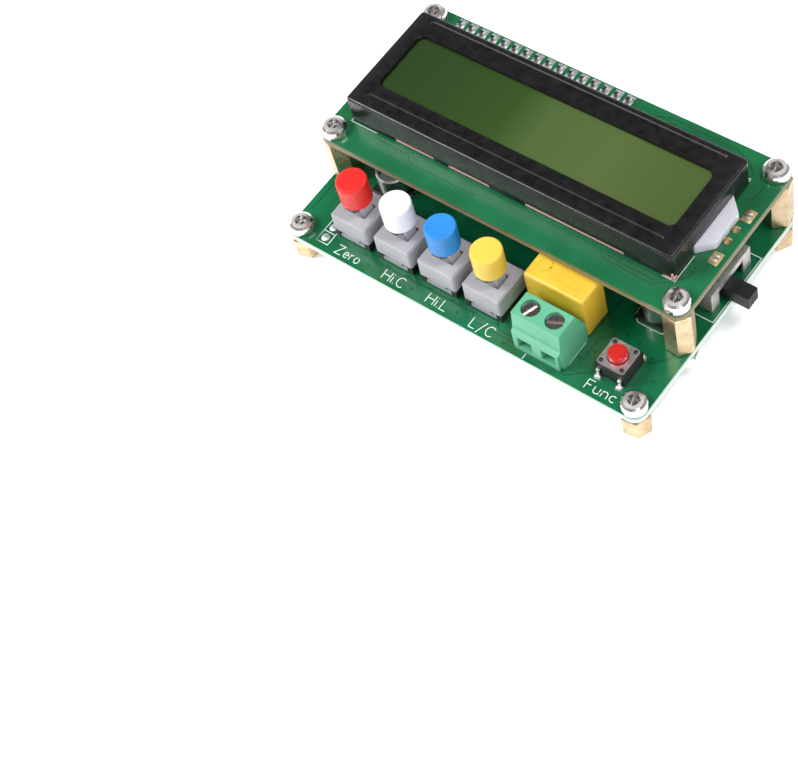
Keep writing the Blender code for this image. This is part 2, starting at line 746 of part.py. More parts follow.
def switch_housing():
    """The grey housing: a tapered cup, open below, with a clip in front and behind."""
    bm = bmesh.new()
    height = SWITCH_HEIGHT - SWITCH_SKIRT_HEIGHT
    quarter = Matrix.Rotation(radians(45), 4, "Z")
    bmesh.ops.create_cone(
        bm,
        cap_ends=True,
        segments=4,
        radius1=SWITCH_SKIRT / sqrt(2),
        radius2=SWITCH_TOP / sqrt(2),
        depth=height,
        matrix=Matrix.Translation((0, 0, SWITCH_SKIRT_HEIGHT + height / 2)) @ quarter,
    )
    soften(bm, SWITCH_EDGE, 1, at_top_or_side)
    housing = new_object("housing_pattern", bm)
    inside = SWITCH_TOP - 2 * SWITCH_WALL
    cup_top = SWITCH_HEIGHT - SWITCH_ROOF
    cup = box("housing_cup", (inside, inside, 2 * cup_top), (0, 0, 0))
    mouth = box(
        "housing_mouth",
        (MOUTH_WIDTH, MOUTH_DEPTH, 4 * SWITCH_ROOF),
        (0, 0, SWITCH_HEIGHT),
    )
    neck_top = SWITCH_SKIRT_HEIGHT + CLIP_THICKNESS
    for row, sign in ROWS.items():
        y = sign * (SWITCH_SKIRT / 2 - CLIP_INSET - CLIP_THICKNESS / 2)
        neck = box(
            "clip_neck_" + row,
            (CLIP_NECK, CLIP_THICKNESS, neck_top - CLIP_BOTTOM),
            (0, y, (neck_top + CLIP_BOTTOM) / 2),
        )
        foot = box(
            "clip_foot_" + row,
            (CLIP_WIDTH, CLIP_THICKNESS, CLIP_HEIGHT),
            (0, y, CLIP_BOTTOM + CLIP_HEIGHT / 2),
        )
        join(housing, neck, foot)
    cut(housing, cup, mouth)
    return baked(housing)


def switch_base():
    """The black base that carries the contacts: it fills the space under the housing, but for its clips."""
    side = SWITCH_SKIRT - 2 * CLIP_INSET
    top = SWITCH_SKIRT_HEIGHT - SEAT
    base = box("base_pattern", (side, side, top - SEAT), (0, 0, (top + SEAT) / 2))
    room = 2 * (CLIP_THICKNESS + SEAT)
    for row, sign in ROWS.items():
        notch = box(
            "clip_notch_" + row,
            (CLIP_WIDTH + 2 * CLIP_PLAY, room, 4 * SWITCH_SKIRT_HEIGHT),
            (0, sign * side / 2, 0),
        )
        cut(base, notch)
    return baked(base)


def switch_plunger():
    """The grey plunger: a flange that stops it under the roof, two prongs, and a stem for the cap."""
    flange_top = SWITCH_HEIGHT - SWITCH_ROOF - SEAT
    flange_middle = flange_top - PLUNGER_FLANGE_THICKNESS / 2
    cap_base = SWITCH_HEIGHT + CAP_GAP
    bridge_top = cap_base + CAP_HOLLOW_DEPTH - CLEARANCE
    stem_top = cap_base + CAP_SOCKET_DEPTH - CLEARANCE
    flange = box(
        "plunger_pattern",
        (PLUNGER_FLANGE, PLUNGER_FLANGE, PLUNGER_FLANGE_THICKNESS),
        (0, 0, flange_middle),
    )
    for side, sign in SIDES.items():
        prong = box(
            "plunger_prong_" + side,
            (PLUNGER_PRONG, PLUNGER_DEPTH, bridge_top - PLUNGER_BRIDGE / 2 - flange_middle),
            (
                sign * (PLUNGER_WIDTH - PLUNGER_PRONG) / 2,
                0,
                (bridge_top - PLUNGER_BRIDGE / 2 + flange_middle) / 2,
            ),
        )
        join(flange, prong)
    bridge = box(
        "plunger_bridge",
        (PLUNGER_WIDTH, PLUNGER_DEPTH, PLUNGER_BRIDGE),
        (0, 0, bridge_top - PLUNGER_BRIDGE / 2),
    )
    stem_base = bridge_top - PLUNGER_BRIDGE / 2
    stem = box(
        "plunger_stem",
        (PLUNGER_STEM, PLUNGER_DEPTH, stem_top - stem_base),
        (0, 0, (stem_top + stem_base) / 2),
    )
    join(flange, bridge, stem)
    return baked(flange)


def switch_cap():
    """The round cap, hollow below, with a socket that grips the plunger's stem."""
    base = SWITCH_HEIGHT + CAP_GAP
    top = base + CAP_HEIGHT
    profile = [(0.0, top)]
    for step in range(CAP_EDGE_STEPS + 1):
        angle = pi / 2 * step / CAP_EDGE_STEPS
        radius = CAP_RADIUS - CAP_EDGE + CAP_EDGE * sin(angle)
        profile.append((radius, top - CAP_EDGE + CAP_EDGE * cos(angle)))
    hollow_radius = CAP_RADIUS - CAP_WALL
    ceiling = base + CAP_HOLLOW_DEPTH
    profile += [(CAP_RADIUS, base), (hollow_radius, base), (hollow_radius, ceiling), (0.0, ceiling)]
    cap = turned("cap_pattern", profile, (0, 0, 0), sides=32)
    socket_size = (PLUNGER_STEM + 2 * CAP_GRIP, PLUNGER_DEPTH + 2 * CAP_GRIP)
    socket = box("cap_socket", (*socket_size, 2 * CAP_SOCKET_DEPTH), (0, 0, base))
    cut(cap, socket)
    return baked(cap)


def push_switches():
    """Four latching switches in a row. Each plunger and cap slides down along its own axis."""
    housing, base, plunger, cap = (
        switch_housing(),
        switch_base(),
        switch_plunger(),
        switch_cap(),
    )
    y = MAIN_FRONT_Y + SWITCH_FROM_FRONT
    for number, (name, colour) in enumerate(zip(SWITCH_NAMES, SWITCH_CAP_FINISHES)):
        x = BOARD_X + SWITCH_FIRST_X + number * SWITCH_PITCH
        place = empty_at(name + "_switch", (x, y, MAIN_TOP))
        copy_of(housing, name + "_switch_housing", (0, 0, 0), "grey_plastic", place)
        copy_of(base, name + "_switch_base", (0, 0, 0), "black_plastic", place)
        copy_of(plunger, name + "_plunger", (0, 0, 0), "grey_plastic", place)
        copy_of(cap, name + "_cap", (0, 0, 0), colour, place)


# Terminal block and film capacitor ---------------------------------------------------------------------------


def terminal_block():
    """The two-way block: a housing with a chamber for each pole, and in each a screw and a rising clamp."""
    front = MAIN_FRONT_Y + TERMINAL_FROM_FRONT
    middle_y = front + TERMINAL_DEPTH / 2
    place = empty_at("terminal", (BOARD_X + TERMINAL_CENTRE_X, middle_y, MAIN_TOP))
    half = TERMINAL_DEPTH / 2
    brow = -half + TERMINAL_STEP
    top_front = brow + TERMINAL_LEAN
    outline = [
        (-half, SEAT),
        (half, SEAT),
        (half, TERMINAL_SHOULDER_HEIGHT),
        (top_front + TERMINAL_TOP_DEPTH, TERMINAL_HEIGHT),
        (top_front, TERMINAL_HEIGHT),
        (brow, TERMINAL_STEP_HEIGHT + TERMINAL_STEP / 2),
        (-half, TERMINAL_STEP_HEIGHT),
    ]
    # The outline is drawn in Y and Z, so it is turned up to stand across X.
    upright = Matrix(((0, 0, 1), (1, 0, 0), (0, 1, 0))).to_4x4()
    housing = slab(
        "terminal_housing",
        outline,
        2 * TERMINAL_PITCH,
        (0, 0, 0),
        upright,
        "green_plastic",
        place,
    )
    groove = box(
        "terminal_groove",
        (2 * TERMINAL_GROOVE_DEPTH, TERMINAL_GROOVE_WIDTH, 2 * TERMINAL_GROOVE_HEIGHT),
        (TERMINAL_PITCH, (brow - half) / 2, 0),
        parent=place,
    )
    cut(housing, groove)

    screw_y = top_front + TERMINAL_TOP_DEPTH / 2
    head_top = TERMINAL_HEIGHT - TERMINAL_SCREW_RECESS
    head_base = head_top - TERMINAL_SCREW_HEAD
    ledge = head_base - SEAT
    chamber_top = ledge - TERMINAL_LEDGE
    clamp_top = chamber_top - CLEARANCE - CLAMP_RISE
    clamp_height = clamp_top - CAGE_FLOOR - 2 * SEAT
    for side, sign in SIDES.items():
        x = sign * TERMINAL_PITCH / 2
        chamber = box(
            "terminal_chamber_" + side,
            (CLAMP_WIDTH + 2 * CLEARANCE, CLAMP_DEPTH + 2 * CLEARANCE, chamber_top - CAGE_FLOOR),
            (x, screw_y, (chamber_top + CAGE_FLOOR) / 2),
            parent=place,
        )
        entry_depth = screw_y + half
        entry = box(
            "wire_entry_" + side,
            (WIRE_ENTRY_WIDTH, 2 * entry_depth, WIRE_ENTRY_HEIGHT),
            (x, -half, WIRE_ENTRY_SILL + WIRE_ENTRY_HEIGHT / 2),
            parent=place,
        )
        well = rods(
            "screw_well_" + side,
            [(x, screw_y, ledge + TERMINAL_HEIGHT)],
            TERMINAL_SCREW_RADIUS + TERMINAL_WELL_GAP,
            2 * TERMINAL_HEIGHT,
            place,
        )
        shank_hole = rods(
            "shank_hole_" + side,
            [(x, screw_y, ledge)],
            TERMINAL_SHANK_RADIUS + TERMINAL_WELL_GAP,
            4 * TERMINAL_LEDGE,
            place,
        )
        cut(housing, chamber, entry, well, shank_hole)

        shank_end = clamp_top - CLAMP_WALL
        profile = [
            (0.0, TERMINAL_SCREW_HEAD),
            (TERMINAL_SCREW_RADIUS, TERMINAL_SCREW_HEAD),
            (TERMINAL_SCREW_RADIUS, 0.0),
            (TERMINAL_SHANK_RADIUS, 0.0),
            (TERMINAL_SHANK_RADIUS, shank_end - head_base),
            (0.0, shank_end - head_base),
        ]
        screw = turned(
            "terminal_screw_" + side, profile, (x, screw_y, head_base), "nickel", place
        )
        slot = box(
            "screw_slot_" + side,
            (4 * TERMINAL_SCREW_RADIUS, TERMINAL_SLOT_WIDTH, 2 * TERMINAL_SLOT_DEPTH),
            (0, 0, TERMINAL_SCREW_HEAD),
            parent=screw,
        )
        cut(screw, slot)
        screw.rotation_euler.z = TERMINAL_SLOT_TURNS[side]

        clamp = box(
            "terminal_clamp_" + side,
            (CLAMP_WIDTH, CLAMP_DEPTH, clamp_height),
            (x, screw_y, clamp_top - clamp_height / 2),
            "steel",
            place,
        )
        window = box(
            "clamp_window_" + side,
            (CLAMP_WIDTH - 2 * CLAMP_WALL, 2 * CLAMP_DEPTH, clamp_height - 2 * CLAMP_WALL),
            (0, 0, 0),
            parent=clamp,
        )
        thread = rods(
            "clamp_thread_" + side,
            [(0, 0, clamp_height / 2)],
            TERMINAL_SHANK_RADIUS + TERMINAL_WELL_GAP,
            4 * CLAMP_WALL,
            clamp,
        )
        cut(clamp, window, thread)


def film_capacitor():
    """The moulded box capacitor behind the terminal block."""
    front = MAIN_FRONT_Y + TERMINAL_FROM_FRONT + TERMINAL_DEPTH + FILM_TERMINAL_GAP
    box(
        "film_capacitor",
        (FILM_LENGTH, FILM_WIDTH, FILM_HEIGHT),
        (BOARD_X + FILM_CENTRE_X, front + FILM_WIDTH / 2, ON_MAIN + FILM_HEIGHT / 2),
        "film_yellow",
        edge=FILM_EDGE,
    )


# Small push button -------------------------------------------------------------------------------------------


def function_button():
    """The small push button: body with a well, metal cover, and a button held in by its flange."""
    y = MAIN_FRONT_Y + BUTTON_FROM_FRONT
    place = empty_at("function", (BOARD_X + BUTTON_CENTRE_X, y, ON_MAIN))
    body = box(
        "function_switch_base",
        (BUTTON_BODY, BUTTON_BODY, BUTTON_BODY_HEIGHT),
        (0, 0, BUTTON_BODY_HEIGHT / 2),
        "black_plastic",
        place,
    )
    well_radius = BUTTON_FLANGE_RADIUS + BUTTON_GAP
    top = (0, 0, BUTTON_BODY_HEIGHT)
    cut(body, rods("button_well", [top], well_radius, 2 * BUTTON_WELL_DEPTH, place))

    cover_base = BUTTON_BODY_HEIGHT + SEAT
    cover = box(
        "function_switch_cover",
        (BUTTON_COVER, BUTTON_COVER, BUTTON_COVER_THICKNESS),
        (0, 0, cover_base + BUTTON_COVER_THICKNESS / 2),
        "steel",
        place,
        edge=BUTTON_COVER_CORNER,
        wanted=is_upright,
    )
    hole_radius = BUTTON_RADIUS + BUTTON_GAP
    hole = rods("cover_hole", [(0, 0, cover_base)], hole_radius, 4 * BUTTON_COVER_THICKNESS, place)
    cut(cover, hole)

    flange_top = BUTTON_BODY_HEIGHT - SEAT
    flange_base = flange_top - BUTTON_FLANGE_THICKNESS
    button_top = cover_base + BUTTON_COVER_THICKNESS + BUTTON_PROUD
    turned(
        "function_button",
        [
            (0.0, button_top),
            (BUTTON_RADIUS - BUTTON_EDGE, button_top),
            (BUTTON_RADIUS, button_top - BUTTON_EDGE),
            (BUTTON_RADIUS, flange_top),
            (BUTTON_FLANGE_RADIUS, flange_top),
            (BUTTON_FLANGE_RADIUS, flange_base),
            (0.0, flange_base),
        ],
        (0, 0, 0),
        "red_plastic",
        place,
    )


# Slide switch ------------------------------------------------------------------------------------------------


def slide_switch():
    """The slide switch: a metal can open behind and below, its terminal plate, and the lever."""
    face_x = BOARD_X + BOARD_LENGTH / 2 - SLIDE_FACE_INSET
    place = empty_at("power", (face_x, DISPLAY_Y + SLIDE_CENTRE_Y, ON_MAIN))
    can = box(
        "power_switch_can",
        (SLIDE_DEPTH, SLIDE_LENGTH, SLIDE_HEIGHT),
        (-SLIDE_DEPTH / 2, 0, SLIDE_HEIGHT / 2),
        "steel",
        place,
    )
    inside_length = SLIDE_LENGTH - 2 * SLIDE_WALL
    inside_height = SLIDE_HEIGHT - SLIDE_WALL
    hollow = box(
        "can_hollow",
        (2 * (SLIDE_DEPTH - SLIDE_WALL), inside_length, 2 * inside_height),
        (-SLIDE_DEPTH, 0, 0),
        parent=place,
    )
    slot = box(
        "can_slot",
        (4 * SLIDE_WALL, SLIDE_SLOT_LENGTH, 2 * SLIDE_SLOT_HEIGHT),
        (0, 0, 0),
        parent=place,
    )
    cut(can, hollow, slot)

    plate_height = inside_height - 2 * CLEARANCE
    plate_x = -SLIDE_DEPTH + TERMINAL_PLATE_THICKNESS / 2
    box(
        "power_switch_base",
        (TERMINAL_PLATE_THICKNESS, inside_length - 2 * CLEARANCE, plate_height),
        (plate_x, 0, plate_height / 2),
        "black_plastic",
        place,
    )

    tip = SLIDE_FACE_INSET + LEVER_OVERHANG
    root = -SLIDE_WALL - 2 * CLEARANCE
    tooth = LEVER_WIDTH / LEVER_TEETH
    outline = [(root, -LEVER_WIDTH / 2)]
    for number in range(LEVER_TEETH):
        y = -LEVER_WIDTH / 2 + number * tooth
        outline += [(tip - LEVER_TOOTH_DEPTH, y), (tip, y + tooth / 4), (tip, y + 3 * tooth / 4)]
    outline += [(tip - LEVER_TOOTH_DEPTH, LEVER_WIDTH / 2), (root, LEVER_WIDTH / 2)]
    lever_y = -LEVER_TRAVEL / 2
    lever = slab(
        "power_lever",
        outline,
        LEVER_HEIGHT,
        (0, lever_y, LEVER_FLOOR + LEVER_HEIGHT / 2),
        material="black_plastic",
        parent=place,
    )
    block_back = -SLIDE_DEPTH + TERMINAL_PLATE_THICKNESS + CLEARANCE
    block_front = -SLIDE_WALL - CLEARANCE
    block = box(
        "slider_block",
        (block_front - block_back, SLIDER_LENGTH, SLIDER_HEIGHT),
        ((block_front + block_back) / 2, lever_y, LEVER_FLOOR + SLIDER_HEIGHT / 2),
        parent=place,
    )
    join(lever, block)


# USB socket and board components -----------------------------------------------------------------------------


def usb_socket():
    """The USB socket at the left edge: a metal shell with a tongue, open towards -X."""
    mouth_x = BOARD_X - BOARD_LENGTH / 2 - USB_OVERHANG
    place = empty_at("usb", (mouth_x, DISPLAY_Y, ON_MAIN + USB_HEIGHT / 2))
    shell = box(
        "usb_socket",
        (USB_DEPTH, USB_WIDTH, USB_HEIGHT),
        (USB_DEPTH / 2, 0, 0),
        "steel",
        place,
        edge=USB_EDGE,
        wanted=is_along_x,
    )
    bore = box(
        "usb_bore",
        (2 * (USB_DEPTH - USB_BACK), USB_WIDTH - 2 * USB_WALL, USB_HEIGHT - 2 * USB_WALL),
        (0, 0, 0),
        parent=place,
    )
    tongue_reach = USB_DEPTH - USB_BACK / 2 - USB_MOUTH_DEPTH
    tongue = box(
        "usb_tongue",
        (tongue_reach, USB_TONGUE_WIDTH, USB_TONGUE_THICKNESS),
        (USB_MOUTH_DEPTH + tongue_reach / 2, 0, 0),
        parent=place,
    )
    cut(shell, bore)
    join(shell, tongue)


def components():
    """Microcontroller, crystal, inductor and electrolytic capacitors under the display."""

    def on_main(spot, height):
        return (BOARD_X + spot[0], DISPLAY_Y + spot[1], ON_MAIN + height)

    for name, spot in CAN_PLACES.items():
        base = box(
            name,
            (CAN_BASE_SIDE, CAN_BASE_SIDE, CAN_BASE_HEIGHT),
            on_main(spot, CAN_BASE_HEIGHT / 2),
            "aluminium",
        )
        profile = [
            (0.0, CAN_HEIGHT),
            (CAN_RADIUS - CAN_RIM, CAN_HEIGHT),
            (CAN_RADIUS, CAN_HEIGHT - CAN_RIM),
            (CAN_RADIUS, CAN_BASE_HEIGHT / 2),
            (0.0, CAN_BASE_HEIGHT / 2),
        ]
        join(base, turned(name + "_can", profile, on_main(spot, 0), sides=32))

    box(
        "microcontroller",
        (CHIP_SIDE, CHIP_SIDE, CHIP_HEIGHT),
        on_main(CHIP_PLACE, CHIP_HEIGHT / 2),
        "black_plastic",
        edge=CHIP_EDGE,
    )
    flange = box(
        "crystal",
        (CRYSTAL_LENGTH, CRYSTAL_WIDTH, CRYSTAL_FLANGE),
        on_main(CRYSTAL_PLACE, CRYSTAL_FLANGE / 2),
        "nickel",
        edge=CRYSTAL_WIDTH / 2 - SEAT,
        wanted=is_upright,
    )
    lid_width = CRYSTAL_WIDTH - 2 * CRYSTAL_FLANGE
    lid = box(
        "crystal_lid",
        (CRYSTAL_LENGTH - 2 * CRYSTAL_FLANGE, lid_width, CRYSTAL_HEIGHT),
        on_main(CRYSTAL_PLACE, CRYSTAL_HEIGHT / 2),
        edge=lid_width / 2 - SEAT,
        wanted=is_upright,
    )
    join(flange, lid)
    turned(
        "reference_inductor",
        [
            (0.0, INDUCTOR_HEIGHT),
            (INDUCTOR_RADIUS, INDUCTOR_HEIGHT),
            (INDUCTOR_RADIUS, INDUCTOR_HEIGHT - INDUCTOR_RIM),
            (INDUCTOR_WAIST, INDUCTOR_HEIGHT - INDUCTOR_RIM),
            (INDUCTOR_WAIST, INDUCTOR_RIM),
            (INDUCTOR_RADIUS, INDUCTOR_RIM),
            (INDUCTOR_RADIUS, 0.0),
            (0.0, 0.0),
        ],
        on_main(INDUCTOR_PLACE, 0),
        "ferrite",
    )


def main():
    """Clears the scene and builds the meter."""
    for old in list(bpy.data.objects):
        bpy.data.objects.remove(old)
    bpy.context.scene.unit_settings.scale_length = 1.0
    boards()
    standoffs()
    feet_and_nuts()
    screws()
    display_module()
    header()
    push_switches()
    terminal_block()
    film_capacitor()
    function_button()
    slide_switch()
    usb_socket()
    components()


main()
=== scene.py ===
"""The looks of a bare-board inductance and capacitance meter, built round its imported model."""

import json
from math import cos, pi, radians, sin

import bmesh
import bpy
from mathutils import Matrix, Vector


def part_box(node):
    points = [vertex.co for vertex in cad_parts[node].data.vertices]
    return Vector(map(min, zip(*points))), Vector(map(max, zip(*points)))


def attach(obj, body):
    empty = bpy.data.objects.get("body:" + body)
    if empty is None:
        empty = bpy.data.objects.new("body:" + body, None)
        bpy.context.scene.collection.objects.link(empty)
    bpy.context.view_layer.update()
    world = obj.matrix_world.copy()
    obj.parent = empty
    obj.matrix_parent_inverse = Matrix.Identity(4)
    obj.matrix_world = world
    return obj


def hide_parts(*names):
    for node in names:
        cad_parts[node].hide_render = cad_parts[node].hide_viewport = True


MM = 0.001
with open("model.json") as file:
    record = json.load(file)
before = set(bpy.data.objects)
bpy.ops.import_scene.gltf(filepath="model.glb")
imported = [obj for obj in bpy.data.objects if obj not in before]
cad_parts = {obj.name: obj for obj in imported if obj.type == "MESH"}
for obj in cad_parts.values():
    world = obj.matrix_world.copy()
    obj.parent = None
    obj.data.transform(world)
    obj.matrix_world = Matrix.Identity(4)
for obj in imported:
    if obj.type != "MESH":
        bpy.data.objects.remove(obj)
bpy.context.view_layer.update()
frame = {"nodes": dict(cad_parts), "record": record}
NODES = frame["nodes"]

# Places that the details hang on, read from the model
MAIN_LOW, MAIN_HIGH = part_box("main_board")
DISPLAY_LOW, DISPLAY_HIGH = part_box("display_board")
BEZEL_LOW, BEZEL_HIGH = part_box("lcd_bezel")
BOARD_X = (MAIN_LOW.x + MAIN_HIGH.x) / 2
DISPLAY_Y = (DISPLAY_LOW.y + DISPLAY_HIGH.y) / 2
MAIN_TOP, MAIN_BOTTOM = MAIN_HIGH.z, MAIN_LOW.z
DISPLAY_TOP, DISPLAY_BOTTOM = DISPLAY_HIGH.z, DISPLAY_LOW.z
SWITCHES = ("zero", "high_c", "high_l", "mode")
SIDES = {"left": -1, "right": 1}
FILM_OF_INK = 0.03 * MM
FILM_OF_COPPER = 0.02 * MM


def spot(x, y):
    """A point given in millimetres from the display board's centre, as the layout was drawn."""
    return (BOARD_X + x * MM, DISPLAY_Y + y * MM)


# Materials ------------------------------------------------------------


def linear(code):
    """The linear colour of an sRGB hex value."""
    parts = [int(code[i : i + 2], 16) / 255 for i in (0, 2, 4)]
    return (*[p / 12.92 if p <= 0.04045 else ((p + 0.055) / 1.055) ** 2.4 for p in parts], 1.0)


def add_node(tree, kind, links=None, **settings):
    """Adds a node, applies its settings, and links or sets its inputs."""
    made = tree.nodes.new(kind)
    for name, value in settings.items():
        setattr(made, name, value)
    for socket, value in (links or {}).items():
        target = made.inputs[socket]
        if isinstance(value, bpy.types.NodeSocket):
            tree.links.new(value, target)
        else:
            target.default_value = value
    return made


def start(name, **sockets):
    """A new material with its tree, its shader and the object's own coordinates."""
    material = bpy.data.materials.new(name)
    material.use_nodes = True
    tree = material.node_tree
    shader = tree.nodes["Principled BSDF"]
    for socket, value in sockets.items():
        shader.inputs[socket.replace("_", " ")].default_value = value
    place = add_node(tree, "ShaderNodeTexCoord").outputs["Object"]
    return material, tree, shader, place


def per_mm(size):
    """A texture's scale for a grain of the given size in millimetres."""
    return 1 / (size * MM)


def ramp(tree, factor, *stops):
    """A colour ramp's output. Each stop is a place from 0 to 1 and a grey level or a hex colour."""
    made = add_node(tree, "ShaderNodeValToRGB", {"Fac": factor})
    elements = made.color_ramp.elements
    while len(elements) < len(stops):
        elements.new(0.5)
    for element, (place, value) in zip(elements, stops):
        element.position = place
        element.color = linear(value) if isinstance(value, str) else (value, value, value, 1.0)
    return made.outputs["Color"]


def bumped(tree, shader, height, distance, strength=0.5):
    """Joins a height to the shader's normal. distance is in millimetres."""
    links = {"Height": height, "Distance": distance * MM, "Strength": strength}
    bump = add_node(tree, "ShaderNodeBump", links)
    tree.links.new(bump.outputs["Normal"], shader.inputs["Normal"])


def two_tone(tree, factor, first, second):
    """A colour between two, by a factor."""
    links = {"Factor": factor, "A": first, "B": second}
    mix = tree.nodes.new("ShaderNodeMix")
    mix.data_type = "RGBA"
    for name, value in links.items():
        target = [s for s in mix.inputs if s.name == name and s.enabled][0]
        if isinstance(value, bpy.types.NodeSocket):
            tree.links.new(value, target)
        else:
            target.default_value = value
    return [s for s in mix.outputs if s.enabled][0]


def moulded(name, light, dark, roughness=0.4, grain=0.25, depth=0.012, **sockets):
    """Injection-moulded plastic: nearly even colour, faint flow clouds, and a fine spark-eroded grain."""
    material, tree, shader, place = start(name, **sockets)
    cloud = add_node(
        tree, "ShaderNodeTexNoise", {"Vector": place, "Scale": per_mm(4), "Detail": 3.0}
    )
    tint = ramp(tree, cloud.outputs["Fac"], (0.3, dark), (0.7, light))
    tree.links.new(tint, shader.inputs["Base Color"])
    fine = add_node(
        tree, "ShaderNodeTexNoise", {"Vector": place, "Scale": per_mm(grain), "Detail": 4.0}
    )
    gloss = ramp(tree, fine.outputs["Fac"], (0.3, roughness - 0.06), (0.7, roughness + 0.08))
    tree.links.new(gloss, shader.inputs["Roughness"])
    bumped(tree, shader, fine.outputs["Fac"], depth)
    return material


def metal(name, light, dark, roughness, patch=1.5, scratch=0.15, depth=0.006):
    """Bare or plated metal: a colour that wanders a little, and fine handling scratches."""
    material, tree, shader, place = start(name, Metallic=1.0)
    cloud = add_node(
        tree, "ShaderNodeTexNoise", {"Vector": place, "Scale": per_mm(patch), "Detail": 4.0}
    )
    tint = ramp(tree, cloud.outputs["Fac"], (0.35, dark), (0.65, light))
    tree.links.new(tint, shader.inputs["Base Color"])
    stretched = add_node(
        tree, "ShaderNodeMapping", {"Vector": place, "Scale": (1.0, 1.0, 0.12)}
    ).outputs["Vector"]
    lines = add_node(
        tree, "ShaderNodeTexNoise", {"Vector": stretched, "Scale": per_mm(scratch), "Detail": 3.0}
    )
    gloss = ramp(tree, lines.outputs["Fac"], (0.3, roughness * 0.7), (0.75, roughness * 1.5))
    tree.links.new(gloss, shader.inputs["Roughness"])
    bumped(tree, shader, lines.outputs["Fac"], depth, 0.3)
    return material


def laminate_board(name, node, mask, deep, core, edge):
    """Glass-fibre board under glossy solder mask. The mask lies on both faces and tints the top of the sawn
    sides, which show the core below; a faint weave shows through the mask."""
    low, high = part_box(node)
    material, tree, shader, place = start(name, IOR=1.5, Coat_Weight=0.25, Coat_Roughness=0.12)
    height = add_node(tree, "ShaderNodeSeparateXYZ", {"Vector": place}).outputs["Z"]
    from_middle = add_node(
        tree, "ShaderNodeMath", {0: height, 1: (low.z + high.z) / 2}, operation="SUBTRACT"
    )
    away = add_node(tree, "ShaderNodeMath", {0: from_middle.outputs[0]}, operation="ABSOLUTE")
    half = (high.z - low.z) / 2
    on_face = add_node(
        tree, "ShaderNodeMath", {0: away.outputs[0], 1: half - 0.04 * MM}, operation="GREATER_THAN"
    ).outputs[0]
    cloud = add_node(
        tree, "ShaderNodeTexNoise", {"Vector": place, "Scale": per_mm(9), "Detail": 3.0}
    )
    green = ramp(tree, cloud.outputs["Fac"], (0.35, deep), (0.65, mask))
    share = add_node(
        tree, "ShaderNodeMapRange", {"Value": height, "From Min": low.z, "From Max": high.z}
    )
    side = ramp(tree, share.outputs["Result"], (0.5, core), (0.68, edge))
    tree.links.new(two_tone(tree, on_face, side, green), shader.inputs["Base Color"])
    weave = add_node(
        tree, "ShaderNodeTexVoronoi", {"Vector": place, "Scale": per_mm(0.5), "Randomness": 0.25}
    )
    gloss = two_tone(tree, on_face, (0.7, 0.7, 0.7, 1), (0.26, 0.26, 0.26, 1))
    tree.links.new(gloss, shader.inputs["Roughness"])
    bumped(tree, shader, weave.outputs["Distance"], 0.01, 0.25)
    return material


def display_glass():
    """Liquid crystal cell behind a matt polarising film: dull olive green, which turns darker to the left,
    where the cell is seen more from the side. The lighter colour from the middle to the right is a painted
    sheen, which stands in for a soft reflection on the film."""
    low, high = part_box("lcd_glass")
    material, tree, shader, place = start("matt_polariser_with_painted_sheen", IOR=1.45)
    along = add_node(tree, "ShaderNodeSeparateXYZ", {"Vector": place}).outputs["X"]
    share = add_node(
        tree,
        "ShaderNodeMapRange",
        {"Value": along, "From Min": low.x, "From Max": high.x},
        interpolation_type="SMOOTHSTEP",
    )
    # Painted sheen: the lighter stops from the middle to the right stand in for a soft reflection on the
    # film.
    tint = ramp(
        tree,
        share.outputs["Result"],
        (0.0, "20380f"),
        (0.35, "2b4716"),
        (0.5, "455b2c"),
        (0.8, "4c5f2f"),
        (1.0, "425626"),
    )
    tree.links.new(tint, shader.inputs["Base Color"])
    fine = add_node(
        tree, "ShaderNodeTexNoise", {"Vector": place, "Scale": per_mm(0.12), "Detail": 2.0}
    )
    gloss = ramp(tree, fine.outputs["Fac"], (0.3, 0.3), (0.7, 0.38))
    tree.links.new(gloss, shader.inputs["Roughness"])
    bumped(tree, shader, fine.outputs["Fac"], 0.003, 0.3)
    return material


def solder_metal():
    """Hand-soldered tin: bright, with a slightly crystalline skin."""
    material, tree, shader, place = start("tin_solder", Metallic=1.0)
    skin = add_node(
        tree, "ShaderNodeTexNoise", {"Vector": place, "Scale": per_mm(0.5), "Detail": 5.0}
    )
    tint = ramp(tree, skin.outputs["Fac"], (0.3, "c9ccce"), (0.7, "f2f3f3"))
    tree.links.new(tint, shader.inputs["Base Color"])
    gloss = ramp(tree, skin.outputs["Fac"], (0.3, 0.3), (0.7, 0.5))
    tree.links.new(gloss, shader.inputs["Roughness"])
    bumped(tree, shader, skin.outputs["Fac"], 0.05, 0.5)
    return material


def screen_ink():
    """White epoxy ink, screen-printed, slightly thin where the mesh left pinholes."""
    material, tree, shader, place = start("white_epoxy_ink", Roughness=0.55)
    holes = add_node(
        tree, "ShaderNodeTexNoise", {"Vector": place, "Scale": per_mm(0.12), "Detail": 2.0}
    )
    tint = ramp(tree, holes.outputs["Fac"], (0.3, "c4d6cb"), (0.5, "eef3ee"))
    tree.links.new(tint, shader.inputs["Base Color"])
    return material


